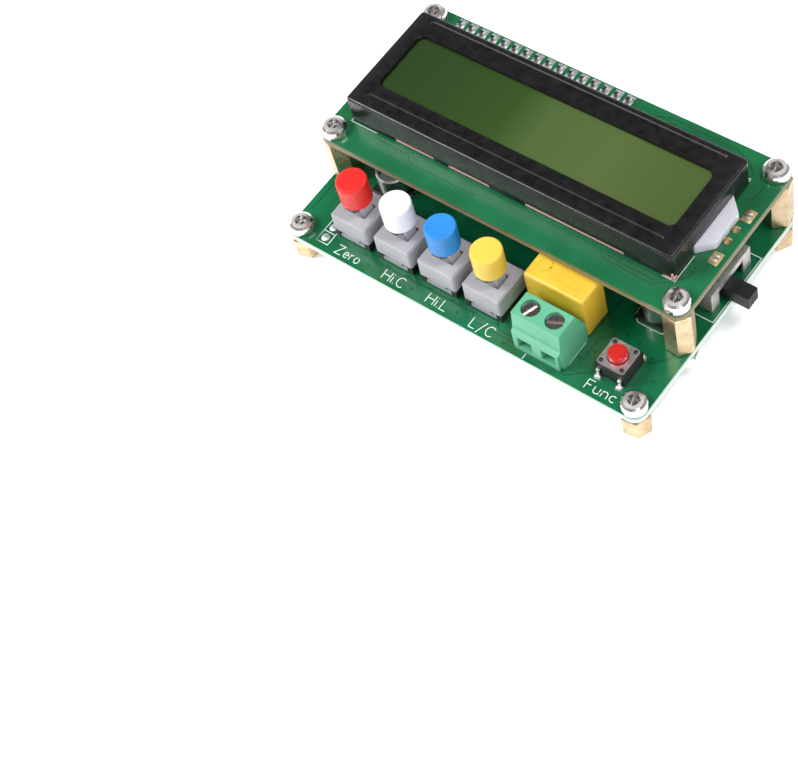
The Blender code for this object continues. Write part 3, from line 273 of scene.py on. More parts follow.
def usb_shell():
    """Tinned steel shell, with a black tongue inside its mouth."""
    low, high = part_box("usb_socket")
    middle = (low + high) / 2
    material, tree, shader, place = start("tinned_steel_with_black_tongue")
    parts = add_node(tree, "ShaderNodeSeparateXYZ", {"Vector": place})
    masks = []
    for axis, reach in (("Y", 2.5 * MM), ("Z", 0.6 * MM)):
        away = add_node(
            tree,
            "ShaderNodeMath",
            {0: parts.outputs[axis], 1: middle["XYZ".index(axis)]},
            operation="SUBTRACT",
        )
        away = add_node(tree, "ShaderNodeMath", {0: away.outputs[0]}, operation="ABSOLUTE")
        masks.append(
            add_node(
                tree, "ShaderNodeMath", {0: away.outputs[0], 1: reach}, operation="LESS_THAN"
            ).outputs[0]
        )
    back = add_node(
        tree, "ShaderNodeMath", {0: parts.outputs["X"], 1: high.x - 0.5 * MM}, operation="LESS_THAN"
    )
    tongue = add_node(
        tree, "ShaderNodeMath", {0: masks[0], 1: masks[1]}, operation="MULTIPLY"
    ).outputs[0]
    tongue = add_node(
        tree, "ShaderNodeMath", {0: tongue, 1: back.outputs[0]}, operation="MULTIPLY"
    ).outputs[0]
    cloud = add_node(
        tree, "ShaderNodeTexNoise", {"Vector": place, "Scale": per_mm(1.2), "Detail": 4.0}
    )
    tin = ramp(tree, cloud.outputs["Fac"], (0.35, "a9abac"), (0.65, "cfd0d0"))
    tree.links.new(two_tone(tree, tongue, tin, linear("121213")), shader.inputs["Base Color"])
    shine = two_tone(tree, tongue, (1, 1, 1, 1), (0, 0, 0, 1))
    tree.links.new(shine, shader.inputs["Metallic"])
    gloss = ramp(tree, cloud.outputs["Fac"], (0.3, 0.25), (0.7, 0.4))
    tree.links.new(gloss, shader.inputs["Roughness"])
    return material


def banded(name, node, lower, upper, level):
    """A drawn aluminium can that stands in a black moulded base: the base ends at the given height."""
    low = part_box(node)[0]
    material, tree, shader, place = start(name)
    height = add_node(tree, "ShaderNodeSeparateXYZ", {"Vector": place}).outputs["Z"]
    above = add_node(
        tree, "ShaderNodeMath", {0: height, 1: low.z + level}, operation="GREATER_THAN"
    ).outputs[0]
    rings = add_node(
        tree, "ShaderNodeTexNoise", {"Vector": place, "Scale": per_mm(2.5), "Detail": 1.0}
    )
    shade = ramp(tree, rings.outputs["Fac"], (0.3, upper), (0.7, "dfe0e0"))
    tree.links.new(two_tone(tree, above, linear(lower), shade), shader.inputs["Base Color"])
    tree.links.new(above, shader.inputs["Metallic"])
    gloss = ramp(tree, rings.outputs["Fac"], (0.3, 0.3), (0.7, 0.36))
    tree.links.new(gloss, shader.inputs["Roughness"])
    return material


# Injection-moulded ABS, satin: the switch housings and plungers
GREY_ABS = moulded("grey_abs", "b2b1b7", "a8a7ad", roughness=0.42)
# Polypropylene caps: even, slightly waxy colour with a soft highlight
RED_CAP = moulded("red_polypropylene", "dc231c", "d01d18", 0.38)
WHITE_CAP = moulded("white_polypropylene", "efedf2", "e6e4ea", 0.38)
BLUE_CAP = moulded("blue_polypropylene", "2a8bda", "2380ce", 0.38)
YELLOW_CAP = moulded("yellow_polypropylene", "f4cb50", "eac046", 0.38)
# Glass-filled polyamide, slightly matt: the terminal block
GREEN_POLYAMIDE = moulded("green_polyamide", "63b590", "59aa85", roughness=0.46, grain=0.35)
# Epoxy-filled box with a smooth skin: the film capacitor
YELLOW_BOX = moulded("yellow_polybutylene", "e6bd3a", "dcb230", roughness=0.38, grain=0.5)
# Black polyamide and ABS: switch bases, header strips, lever
BLACK_POLYAMIDE = moulded("black_polyamide", "1c1b1c", "141314", roughness=0.45)
# Moulded epoxy of chip packages, finely matt
CHIP_EPOXY = moulded(
    "black_moulding_epoxy", "232324", "1b1b1c", roughness=0.58, grain=0.15, depth=0.02
)
RED_BUTTON = moulded("red_abs", "c8231c", "b81d17", roughness=0.32)
# Milky acrylic light guide, faintly lilac, with a smooth skin
LIGHT_GUIDE = moulded(
    "milky_acrylic", "efeff9", "e8e8f4", roughness=0.24, grain=1.2, depth=0.001
)
PINK_SILICONE = moulded("pink_silicone", "e9a9b6", "dd93a3", roughness=0.6)
FERRITE = moulded("ground_ferrite", "3a393a", "2b2a2b", roughness=0.62, grain=0.2, depth=0.03)
# Bright nickel plating over steel: screws and nuts
NICKEL = metal("bright_nickel_plate", "f4f0ee", "e2dcd9", 0.17, patch=2.5)
# Turned brass under a thin dull plating, pale tan: standoffs and feet
PALE_BRASS = metal("dull_plated_brass", "dcc6a4", "c6ad88", 0.34, patch=2.0)
TINNED_STEEL = metal("tinned_steel", "dcd6d6", "c6bfbf", 0.34, patch=1.8)
CAN_STEEL = metal("brushed_tinned_steel", "dcd5d3", "c5bebc", 0.5, patch=1.4)
GOLD = metal("gold_plated_copper", "e6cfa0", "c9a878", 0.34, patch=0.8)
SOLDER = solder_metal()
INK = screen_ink()
# Stove-painted pressed steel, satin black
BLACK_STEEL = moulded(
    "satin_black_painted_steel", "0d0c0f", "0a0a0c", 0.3, grain=2.0, depth=0.0
)
MAIN_MASK = laminate_board("green_solder_mask", "main_board", "0f6d45", "0b5f3b", "e4eae4", "a5cbb6")
# The display board's sawn sides get a dark tan core and an olive edge, far darker than the main board's pale
# core: painted shade, because that board's front edge stands in shadow.
DISPLAY_MASK_WITH_SHADED_EDGES = laminate_board(
    "bright_green_solder_mask_with_painted_edge_shade", "display_board", "1c6e44", "17623b", "8d7b58", "5b6b48"
)
# Solder mask over the gaps between copper: the same green, but deeper, as there is no copper below
DEEP_MASK = moulded("solder_mask_over_gaps", "085233", "06492c", roughness=0.3, Coat_Weight=0.25)

FINISHES = {
    "main_mask": MAIN_MASK,
    "display_mask": DISPLAY_MASK_WITH_SHADED_EDGES,
    "brass": PALE_BRASS,
    "nickel": NICKEL,
    "black_metal": BLACK_STEEL,
    "display_glass": display_glass(),
    "white_plastic": LIGHT_GUIDE,
    "pink_rubber": PINK_SILICONE,
    "black_plastic": BLACK_POLYAMIDE,
    "grey_plastic": GREY_ABS,
    "red_plastic": RED_CAP,
    "white_cap": WHITE_CAP,
    "blue_plastic": BLUE_CAP,
    "yellow_plastic": YELLOW_CAP,
    "green_plastic": GREEN_POLYAMIDE,
    "film_yellow": YELLOW_BOX,
    "steel": TINNED_STEEL,
    "ferrite": FERRITE,
}
OWN_FINISHES = {
    "usb_socket": usb_shell(),
    "microcontroller": CHIP_EPOXY,
    "function_button": RED_BUTTON,
    "power_switch_can": CAN_STEEL,
    "display_header": BLACK_POLYAMIDE,
}
for side in SIDES:
    can = "electrolytic_capacitor_" + side
    OWN_FINISHES[can] = banded("aluminium_can_on_base_" + side, can, "151515", "cfd1d1", 1.0 * MM)

for part in frame["record"]["subparts"]:
    mesh = NODES[part["node"]].data
    mesh.materials.clear()
    chosen = OWN_FINISHES.get(part["node"])
    mesh.materials.append(chosen or FINISHES[part["material_slot"]])


# Mesh tools -----------------------------------------------------------


def finished(name, bm, material, body="boards", angle=35):
    """Makes a piece of the bmesh. It rides on a body."""
    bmesh.ops.remove_doubles(bm, verts=bm.verts, dist=0.0005 * MM)
    bmesh.ops.recalc_face_normals(bm, faces=bm.faces)
    mesh = bpy.data.meshes.new(name)
    bm.to_mesh(mesh)
    bm.free()
    mesh.materials.append(material)
    mesh.shade_smooth()
    mesh.set_sharp_from_angle(angle=radians(angle))
    made = bpy.data.objects.new(name, mesh)
    bpy.context.scene.collection.objects.link(made)
    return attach(made, body)


def edges_of(verts):
    """The edges that meet some vertices, each once."""
    return list({edge for vert in verts for edge in vert.link_edges})


def bevel(bm, edges, width, segments=2):
    """Rounds the edges."""
    bmesh.ops.bevel(
        bm,
        geom=list(edges),
        offset=width,
        offset_type="OFFSET",
        segments=segments,
        profile=0.5,
        affect="EDGES",
        material=-1,
        clamp_overlap=True,
    )


def add_box(bm, centre, size, turn=0.0, edge=0.0, segments=2):
    """Adds a box, turned about Z by radians, with rounded edges where edge is given."""
    matrix = (
        Matrix.Translation(centre) @ Matrix.Rotation(turn, 4, "Z") @ Matrix.Diagonal((*size, 1.0))
    )
    verts = bmesh.ops.create_cube(bm, size=1.0, matrix=matrix)["verts"]
    if edge:
        bevel(bm, edges_of(verts), edge, segments)
    return verts


def add_disc(bm, x, y, base, radius, height, sides=16):
    """Adds a low upright cylinder that stands on a height."""
    bmesh.ops.create_cone(
        bm,
        cap_ends=True,
        segments=sides,
        radius1=radius,
        radius2=radius,
        depth=height,
        matrix=Matrix.Translation((x, y, base + height / 2)),
    )


def add_turned(bm, x, y, base, profile, steps=16, flip=1):
    """Spins a profile of (radius, height) points about an upright axis. flip=-1 hangs it upside down."""
    verts = [bm.verts.new((x + radius, y, base + flip * height)) for radius, height in profile]
    edges = [bm.edges.new(pair) for pair in zip(verts, verts[1:])]
    bmesh.ops.spin(
        bm,
        geom=verts + edges,
        cent=(x, y, base),
        axis=(0, 0, 1),
        angle=2 * pi,
        steps=steps,
        use_merge=True,
        use_duplicate=False,
    )


def add_ribbon(bm, points, width, level, height):
    """Adds a flat strip of even width and height along the points, with mitred corners."""
    points = [Vector(point) for point in points]
    closed = (points[0] - points[-1]).length < 1e-7
    pairs = []
    for i, point in enumerate(points):
        before = point - points[i - 1] if i else points[1] - point
        after = points[i + 1] - point if i + 1 < len(points) else before
        if closed and i in (0, len(points) - 1):
            before, after = points[-1] - points[-2], points[1] - points[0]
        before, after = before.normalized(), after.normalized()
        along = (before + after).normalized()
        reach = width / 2 / max(0.35, along.dot(after))
        across = Vector((-along.y, along.x)) * reach
        pairs.append((point + across, point - across))
    ends = [bm.verts.new((*side, level)) for side in pairs[0]]
    edge = bm.edges.new(ends)
    faces = []
    for left, right in pairs[1:]:
        made = bmesh.ops.extrude_edge_only(bm, edges=[edge])["geom"]
        new = [g for g in made if isinstance(g, bmesh.types.BMVert)]
        new.sort(key=lambda vert: (vert.co - ends[0].co).length)
        for vert, place in zip(new, (left, right)):
            vert.co.xy = place
        ends = new
        edge = next(e for e in new[0].link_edges if e.other_vert(new[0]) == new[1])
        faces += [g for g in made if isinstance(g, bmesh.types.BMFace)]
    made = bmesh.ops.extrude_face_region(bm, geom=faces, use_keep_orig=True)["geom"]
    lifted = [g for g in made if isinstance(g, bmesh.types.BMVert)]
    bmesh.ops.translate(bm, verts=lifted, vec=(0, 0, height))


def arc(x, y, rx, ry, first, last, steps=10):
    """Points along part of an ellipse. The angles are in degrees."""
    turns = [radians(first + (last - first) * i / steps) for i in range(steps + 1)]
    return [(x + rx * cos(turn), y + ry * sin(turn)) for turn in turns]


# The display's black steel frame --------------------------------------

WALL = 0.35 * MM
GROOVE_DEPTH = 0.22 * MM
LIP_DEPTH = 0.42 * MM
SLOPE = 0.32 * MM  # of the window's lip
WINDOW = Vector((64.4, 13.6)) * MM
WINDOW_MIDDLE = (BEZEL_LOW + BEZEL_HIGH).xy / 2 + Vector((0, 0.3 * MM))
TAB_DOOR = (BEZEL_LOW.z + 2.2 * MM, DISPLAY_Y + 0.6 * MM, 6.4 * MM)  # top, middle, half width
GROOVE_ENDS = (WINDOW_MIDDLE.x - WINDOW.x / 2, WINDOW_MIDDLE.x + WINDOW.x / 2)
GROOVES = (
    (DISPLAY_Y - 10.1 * MM, DISPLAY_Y - 8.75 * MM),
    (DISPLAY_Y + 9.35 * MM, DISPLAY_Y + 10.7 * MM),
)
SLOTS = ((-26.0, -17.0), (-13.8, -4.4), (3.3, 24.4))  # along the front wall, from the board's middle
SLOT_TOP = BEZEL_LOW.z + 0.9 * MM


def slice_at(bm, axis, place, faces=None):
    """Cuts the mesh, or some of its faces, along a plane across the axis, which keeps both sides."""
    normal = Vector((axis == "x", axis == "y", axis == "z"))
    faces = list(faces or bm.faces)
    edges = {e for f in faces for e in f.edges}
    geom = [*corners(faces), *edges, *faces]
    bmesh.ops.bisect_plane(bm, geom=geom, dist=1e-7, plane_co=normal * place, plane_no=normal)


def faces_within(bm, low, high):
    """The faces whose middle lies in a box. None leaves that side open."""
    found = []
    for face in bm.faces:
        middle = face.calc_center_median()
        inside = all(
            (a is None or m > a) and (b is None or m < b) for m, a, b in zip(middle, low, high)
        )
        if inside:
            found.append(face)
    return found


def corners(faces):
    """The vertices of some faces, each once."""
    return list({vert for face in faces for vert in face.verts})


def slanted(bm, drop):
    """The corner edges of what is pressed in below the frame's top by a given depth."""
    top = BEZEL_HIGH.z
    found = []
    for edge in bm.edges:
        low, high = sorted(v.co.z - top for v in edge.verts)
        run = (edge.verts[0].co - edge.verts[1].co).xy
        if abs(high) < 1e-7 and abs(low - drop) < 1e-7 and min(abs(run.x), abs(run.y)) > 0.05 * MM:
            found.append(edge)
    return found


def display_frame():
    """Folded steel: a window with a rolled lip, a stiffening groove along each side of it, slots at the foot
    of the front wall, and a door for the light guide's tab."""
    bm = bmesh.new()
    add_box(bm, (BEZEL_LOW + BEZEL_HIGH) / 2, BEZEL_HIGH - BEZEL_LOW)
    upright = [e for e in bm.edges if abs(e.verts[0].co.z - e.verts[1].co.z) > MM]
    bevel(bm, upright, 0.8 * MM, 4)
    rim = [e for e in bm.edges if min(v.co.z for v in e.verts) > BEZEL_HIGH.z - 1e-6]
    bevel(bm, rim, 0.5 * MM, 4)
    floor = [f for f in bm.faces if f.calc_center_median().z < BEZEL_LOW.z + 1e-6]
    bmesh.ops.delete(bm, geom=floor, context="FACES_ONLY")

    half = WINDOW / 2
    for sign in (-1, 1):
        slice_at(bm, "x", WINDOW_MIDDLE.x + sign * half.x)
        slice_at(bm, "y", WINDOW_MIDDLE.y + sign * half.y)
    for pair in GROOVES:
        for place in pair:
            slice_at(bm, "y", place)
    slice_at(bm, "z", SLOT_TOP)
    slice_at(bm, "z", TAB_DOOR[0])
    front_high = (None, BEZEL_LOW.y + 0.1 * MM, SLOT_TOP + 0.1 * MM)
    right_low = (BEZEL_HIGH.x - 0.1 * MM, None, None)
    for place in [BOARD_X + end * MM for slot in SLOTS for end in slot]:
        slice_at(bm, "x", place, faces_within(bm, (None, None, None), front_high))
    for sign in (-1, 1):
        place = TAB_DOOR[1] + sign * TAB_DOOR[2]
        slice_at(bm, "y", place, faces_within(bm, right_low, (None, None, TAB_DOOR[0])))

    gone = []
    for first, last in SLOTS:
        low = (BOARD_X + first * MM, None, None)
        high = (BOARD_X + last * MM, BEZEL_LOW.y + 0.1 * MM, SLOT_TOP)
        gone += faces_within(bm, low, high)
    door_low = (BEZEL_HIGH.x - 0.1 * MM, TAB_DOOR[1] - TAB_DOOR[2], None)
    gone += faces_within(bm, door_low, (None, TAB_DOOR[1] + TAB_DOOR[2], TAB_DOOR[0]))
    bmesh.ops.delete(bm, geom=gone, context="FACES")

    top = BEZEL_HIGH.z - 1e-6
    for low_y, high_y in GROOVES:
        sunk = faces_within(bm, (GROOVE_ENDS[0], low_y, top), (GROOVE_ENDS[1], high_y, None))
        bmesh.ops.inset_region(
            bm, faces=sunk, thickness=GROOVE_DEPTH, depth=0.0, use_even_offset=True
        )
        bmesh.ops.translate(bm, verts=corners(sunk), vec=(0, 0, -GROOVE_DEPTH))
    low = (WINDOW_MIDDLE.x - half.x, WINDOW_MIDDLE.y - half.y, top)
    high = (WINDOW_MIDDLE.x + half.x, WINDOW_MIDDLE.y + half.y, None)
    pane = faces_within(bm, low, high)
    bmesh.ops.inset_region(bm, faces=pane, thickness=SLOPE, depth=0.0, use_even_offset=True)
    bmesh.ops.translate(bm, verts=corners(pane), vec=(0, 0, -LIP_DEPTH))
    bmesh.ops.delete(bm, geom=pane, context="FACES")
    bevel(bm, slanted(bm, -LIP_DEPTH), 1.1 * MM, 5)
    bevel(bm, slanted(bm, -GROOVE_DEPTH), 0.45 * MM, 4)
    bmesh.ops.remove_doubles(bm, verts=bm.verts, dist=0.001 * MM)
    bmesh.ops.recalc_face_normals(bm, faces=bm.faces)
    made = finished("display_frame", bm, BLACK_STEEL, angle=24)
    wall = made.modifiers.new("sheet", "SOLIDIFY")
    wall.thickness = WALL
    wall.offset = -1.0
    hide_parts("lcd_bezel")


def slot_linings():
    """What shows in the frame's slots: the bare sheared edge of the steel, and the contact rubber behind."""
    edge, rubber = bmesh.new(), bmesh.new()
    for first, last in SLOTS:
        middle = BOARD_X + (first + last) / 2 * MM
        length = (last - first) * MM
        place = (middle, BEZEL_LOW.y + 0.13 * MM, SLOT_TOP - 0.1 * MM)
        add_box(edge, place, (length, 0.2 * MM, 0.18 * MM), edge=0.03 * MM)
        place = (middle, BEZEL_LOW.y + 0.15 * MM, BEZEL_LOW.z + 0.22 * MM)
        add_box(rubber, place, (length - 0.2 * MM, 0.24 * MM, 0.24 * MM), edge=0.08 * MM)
    finished("sheared_slot_edges", edge, TINNED_STEEL)
    finished("contact_rubber_lips", rubber, PINK_SILICONE)


def squeezed_corner():
    """The end of the front rubber strip, squeezed out under the frame's corner."""
    bm = bmesh.new()
    x, y = BEZEL_HIGH.x - 0.9 * MM, BEZEL_LOW.y + 0.2 * MM
    z = BEZEL_LOW.z
    add_box(bm, (x, y - 0.22 * MM, z + 0.16 * MM), (1.9 * MM, 0.34 * MM, 0.26 * MM), edge=0.1 * MM)
    side = (x + 0.9 * MM, y + 0.15 * MM, z + 0.45 * MM)
    add_box(bm, side, (0.3 * MM, 1.0 * MM, 0.5 * MM), 0.15, 0.1 * MM)
    tongue = (x + 0.72 * MM, y - 0.28 * MM, z + 0.95 * MM)
    add_box(bm, tongue, (0.4 * MM, 0.24 * MM, 1.8 * MM), 0.5, 0.1 * MM)
    finished("squeezed_rubber_corner", bm, PINK_SILICONE)


def frame_lugs():
    """Lugs of the frame, twisted flat on the underside of the display board."""
    bm = bmesh.new()
    for x in (-31.0, -10.0, 9.0, 29.0):
        for y in (-9.6, 9.6):
            place = (*spot(x, y), DISPLAY_BOTTOM - 0.22 * MM)
            add_box(bm, place, (2.6 * MM, 0.45 * MM, 0.42 * MM), radians(32), 0.1 * MM)
    finished("twisted_frame_lugs", bm, BLACK_STEEL)


# Display board details ------------------------------------------------

HEADER_LOW, HEADER_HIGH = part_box("display_header")
PITCH = 2.54 * MM
HEADER_Y = (HEADER_LOW.y + HEADER_HIGH.y) / 2
HEADER_XS = [HEADER_LOW.x + PITCH * (i + 0.5) for i in range(16)]
CONE = ((0.95, 0.0), (0.8, 0.12), (0.52, 0.38), (0.4, 0.66), (0.34, 0.9), (0.0, 0.98))


def scaled(profile, size):
    """A profile in millimetres, times a size."""
    return [(r * size * MM, h * size * MM) for r, h in profile]


def header_joints():
    """Tinned pads of the display's header, each with its solder cone round the pin."""
    pads, solder = bmesh.new(), bmesh.new()
    for x in HEADER_XS:
        add_box(
            pads, (x, HEADER_Y - 0.1 * MM, DISPLAY_TOP + 0.01 * MM), (1.8 * MM, 3.1 * MM, 0.06 * MM),
            edge=0.02 * MM, segments=1,
        )
        add_turned(solder, x, HEADER_Y, DISPLAY_TOP + 0.03 * MM, scaled(CONE, 1.0), 14)
    finished("header_pads", pads, SOLDER)
    finished("header_solder", solder, SOLDER)


def ink_lines(name, level, lines, width=0.2):
    """Screen-printed lines. Each is a list of points in millimetres from the display board's centre."""
    bm = bmesh.new()
    for line in lines:
        points = [spot(*point) for point in line]
        add_ribbon(bm, points, width * MM, level - 0.01 * MM, FILM_OF_INK)
    finished(name, bm, INK)


def gap_lines(name, level, lines, width=0.24):
    """Lines where the copper is etched away, seen through the mask."""
    bm = bmesh.new()
    for line in lines:
        points = [spot(*point) for point in line]
        add_ribbon(bm, points, width * MM, level - 0.01 * MM, FILM_OF_COPPER)
    finished(name, bm, DEEP_MASK)


def display_board_marks():
    """Corner marks of the frame, and the copper pattern at the board's front and back."""
    ink_lines(
        "display_corner_marks",
        DISPLAY_TOP,
        (
            ((-36.3, -10.6), (-36.3, -12.15), (-30.2, -12.15)),
            ((34.8, -5.9), (34.8, -12.0), (32.2, -12.0)),
            ((34.3, 6.3), (34.3, 12.35), (31.0, 12.35)),
        ),
        0.14,
    )
    gap_lines(
        "display_copper_gaps",
        DISPLAY_TOP,
        (
            ((22.4, -12.5), (31.9, -12.6), (33.1, -12.35)),
            ((20.3, -12.8), (20.3, -13.3), (21.4, -14.1), (31.7, -14.4), (33.3, -12.9)),
            ((20.9, -12.7), (21.6, -13.3), (31.4, -13.6), (32.4, -12.9)),
            ((12.4, 15.9), (15.1, 17.0), (29.0, 16.6), (31.8, 15.6), (34.4, 13.2)),
            ((12.4, 14.9), (15.6, 15.9), (28.6, 15.7), (31.0, 14.8), (33.2, 12.8)),
            ((-30.0, -13.2), (-22.0, -13.2), (-20.6, -14.6), (-6.0, -14.6)),
            ((36.0, 8.2), (37.2, 9.4), (37.2, 12.2)),
            ((36.3, -7.6), (36.3, -10.2), (35.1, -11.4)),
        ),
        0.2,
    )


def light_leads():
    """The display light's two wire leads, which stand as small loops beside the light guide, and the two
    gold-plated pads at either side of them, each with a drop of solder in its middle."""
    wires, pads, drops = bmesh.new(), bmesh.new(), bmesh.new()
    for y in (1.85, -0.8):
        px, py = spot(38.0, y)
        made = bmesh.ops.create_circle(
            wires,
            segments=10,
            radius=0.17 * MM,
            matrix=Matrix.Translation((px, py, DISPLAY_TOP + 1.2 * MM))
            @ Matrix.Rotation(pi / 2, 4, "Y"),
        )
        bmesh.ops.spin(
            wires,
            geom=made["verts"] + edges_of(made["verts"]),
            cent=(px, py, DISPLAY_TOP + 0.5 * MM),
            axis=(0.0, 1.0, 0.0),
            angle=2 * pi,
            steps=22,
            use_merge=True,
            use_duplicate=False,
        )
        loop = [v for v in wires.verts if abs(v.co.y - py) < MM]
        home = Matrix.Translation((-px, -py, 0))
        turn = home.inverted() @ Matrix.Rotation(0.55, 4, "Z") @ home
        bmesh.ops.transform(wires, matrix=turn, verts=loop)
        add_disc(pads, px, py, DISPLAY_TOP - 0.02 * MM, 0.5 * MM, 0.06 * MM, 20)
    for x, y in ((38.3, 5.55), (38.15, -4.6)):
        centre = (*spot(x, y), DISPLAY_TOP + 0.01 * MM)
        add_box(pads, centre, (1.9 * MM, 2.7 * MM, 0.08 * MM), edge=0.03 * MM)
        for reach in (-0.45, 0.45):
            place = (centre[0], centre[1] + reach * MM, DISPLAY_TOP + 0.12 * MM)
            add_box(drops, place, (0.9 * MM, 0.5 * MM, 0.22 * MM), 0.3, 0.1 * MM)
    finished("light_leads", wires, GOLD)
    finished("gold_pads", pads, GOLD)
    finished("gold_pad_solder", drops, SOLDER)


def drivers_below():
    """Black resin drops over the display's driver chips, and small chip parts, under the display board."""
    drops, chips, ends = bmesh.new(), bmesh.new(), bmesh.new()
    profile = ((6.4, 0.0), (6.3, 0.25), (5.6, 0.75), (4.0, 1.15), (2.0, 1.32), (0.0, 1.36))
    for x in (-16.0, 6.0):
        place = (BOARD_X + x * MM, DISPLAY_Y - 0.5 * MM)
        add_turned(drops, *place, DISPLAY_BOTTOM, scaled(profile, 1.0), 28, flip=-1)
    for x, y in ((24, 3), (24, -1), (24, -5), (28, 3), (28, -1), (-30, 4), (-30, -4)):
        place = (BOARD_X + x * MM, DISPLAY_Y + y * MM, DISPLAY_BOTTOM - 0.28 * MM)
        add_box(chips, place, (1.3 * MM, 1.25 * MM, 0.5 * MM), edge=0.06 * MM)
        for sign in (-1, 1):
            end = (place[0] + sign * 0.82 * MM, place[1], place[2])
            add_box(ends, end, (0.4 * MM, 1.27 * MM, 0.54 * MM), edge=0.08 * MM)
    finished("driver_resin_drops", drops, CHIP_EPOXY)
    finished("display_chip_parts", chips, CHIP_EPOXY)
    finished("display_chip_ends", ends, SOLDER)


# Main board details ---------------------------------------------------

GLYPHS = {  # strokes in shares of the capital height, and the letter's width
    "Z": (((0, 1), (0.86, 1), (0, 0), (0.9, 0)),),
    "e": (((0.03, 0.33), *arc(0.33, 0.32, 0.3, 0.31, 5, 318)),),
    "r": (((0, 0.64), (0, 0)), ((0, 0.36), (0.1, 0.54), (0.24, 0.63), (0.36, 0.63))),
    "o": (tuple(arc(0.34, 0.32, 0.31, 0.32, 90, 450, 14)),),
    "H": (((0, 1), (0, 0)), ((0.76, 1), (0.76, 0)), ((0, 0.52), (0.76, 0.52))),
    "i": (((0, 0.64), (0, 0)), ((0, 0.84), (0, 0.94))),
    ".": (((0, 0), (0, 0.1)),),
    "C": (tuple(arc(0.44, 0.5, 0.44, 0.5, 48, 312, 14)),),
    "L": (((0, 1), (0, 0), (0.62, 0)),),
    "/": (((0, -0.22), (0.5, 1.1)),),
    "F": (((0.62, 1), (0, 1), (0, 0)), ((0, 0.52), (0.48, 0.52))),
    "u": (((0, 0.64), *arc(0.28, 0.26, 0.28, 0.26, 180, 360, 8), (0.56, 0.64)), ((0.56, 0.3), (0.56, 0))),
    "n": (((0, 0), (0, 0.64)), ((0, 0.38), *arc(0.28, 0.38, 0.28, 0.26, 180, 0, 8), (0.56, 0))),
    "c": (tuple(arc(0.32, 0.32, 0.31, 0.32, 50, 310)),),
}
LETTER_GAP = 0.27
LABELS = (  # the keys' functions: left end, baseline and capital height in millimetres, and squeeze
    ("Zero", -28.6, -31.6, 1.95, 0.84),
    ("Hi.C", -17.35, -31.6, 2.05, 1.0),
    ("Hi.L", -7.1, -31.55, 2.05, 1.0),
    ("L/C", 2.95, -31.75, 2.05, 1.0),
    ("Func", 27.9, -31.55, 2.0, 1.0),
)


def key_labels():
    """The keys' functions, screen-printed along the front edge in a single-stroke letter."""
    lines = []
    for words, x, y, height, squeeze in LABELS:
        for letter in words:
            strokes = GLYPHS[letter]
            for stroke in strokes:
                lines.append([(x + a * height * squeeze, y + b * height) for a, b in stroke])
            width = max(a for stroke in strokes for a, b in stroke)
            x += (width + LETTER_GAP) * height * squeeze
    ink_lines("key_labels", MAIN_TOP, lines, 0.16)


def octagon(x, y, half, corner):
    """The outline of a square whose corners are cut off, as a closed line."""
    near = half - corner
    points = [(near, -half), (half, -near), (half, near), (near, half)]
    points += [(-a, -b) for a, b in points]
    return [(x + a, y + b) for a, b in points + points[:1]]


def from_display(node):
    """The middle of a CAD node in millimetres from the display board's centre."""
    low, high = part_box(node)
    return ((low.x + high.x) / 2 - BOARD_X) / MM, ((low.y + high.y) / 2 - DISPLAY_Y) / MM


def main_board_marks():
    """Printed outlines of the parts, and the copper pattern along the front apron."""
    left, right = (from_display("electrolytic_capacitor_" + side) for side in SIDES)
    ink_lines(
        "main_part_outlines",
        MAIN_TOP,
        (
            ((-33.4, -31.0), (-30.7, -31.0), (-30.7, -26.0), (-33.4, -26.0), (-33.4, -31.0)),
            ((-33.4, -28.5), (-30.7, -28.5)),
            ((23.1, -23.6), (23.1, -29.2)),
            ((15.35, -31.2), (15.35, -32.3)),
            ((36.1, -9.1), (39.75, -9.1), (39.75, 6.5), (36.1, 6.5)),
            octagon(*left, 3.75, 1.3),
            octagon(*right, 3.75, 1.3),
        ),
        0.17,
    )
    gap_lines(
        "main_copper_gaps",
        MAIN_TOP,
        (
            ((-22.3, -24.6), (-22.3, -28.0), (-20.6, -29.3), (-9.8, -29.3)),
            ((-12.2, -24.4), (-12.2, -27.6), (-10.6, -29.0), (2.0, -29.0), (3.4, -30.4), (12.6, -30.4)),
            ((-2.1, -24.4), (-2.1, -26.9), (-0.8, -28.2), (6.9, -28.2), (8.4, -29.6), (12.4, -29.6)),
            ((8.3, -24.6), (8.3, -27.2), (11.0, -29.2)),
            ((20.5, -31.7), (23.9, -31.1), (26.6, -28.8), (27.8, -28.2)),
            ((24.6, -27.9), (24.6, -22.0), (26.6, -20.0)),
            ((34.6, -22.0), (37.6, -19.0), (37.6, -12.6)),
            ((-38.6, -26.0), (-38.6, -6.0)),
            ((-36.0, -24.0), (-36.0, -9.0)),
            ((9.2, -19.0), (9.2, -10.0)),
            ((23.4, -18.6), (23.4, -12.0)),
        ),
        0.26,
    )


def vias():
    """Plated holes of the main board, closed over by the mask."""
    bm = bmesh.new()
    places = [(37.5, -24.3), (37.6, -21.4), (28.4, -18.6), (31.35, -19.2), (27.2, -18.6), (25.6, -24.5)]
    places += [(24.0, -26.8), (36.2, -16.4), (34.9, -20.6), (-37.6, -20.0), (-35.0, -29.6), (-20.9, -30.6)]
    places += [(-10.7, -30.6), (-0.4, -30.4), (10.6, -31.4), (22.2, -30.3), (36.9, -13.0), (-37.9, -9.0)]
    for x, y in places:
        px, py = spot(x, y)
        profile = ((0.36 * MM, -0.02 * MM), (0.3 * MM, 0.03 * MM), (0.14 * MM, 0.02 * MM), (0, -0.005 * MM))
        add_turned(bm, px, py, MAIN_TOP, profile, 12)
    finished("masked_vias", bm, DEEP_MASK)


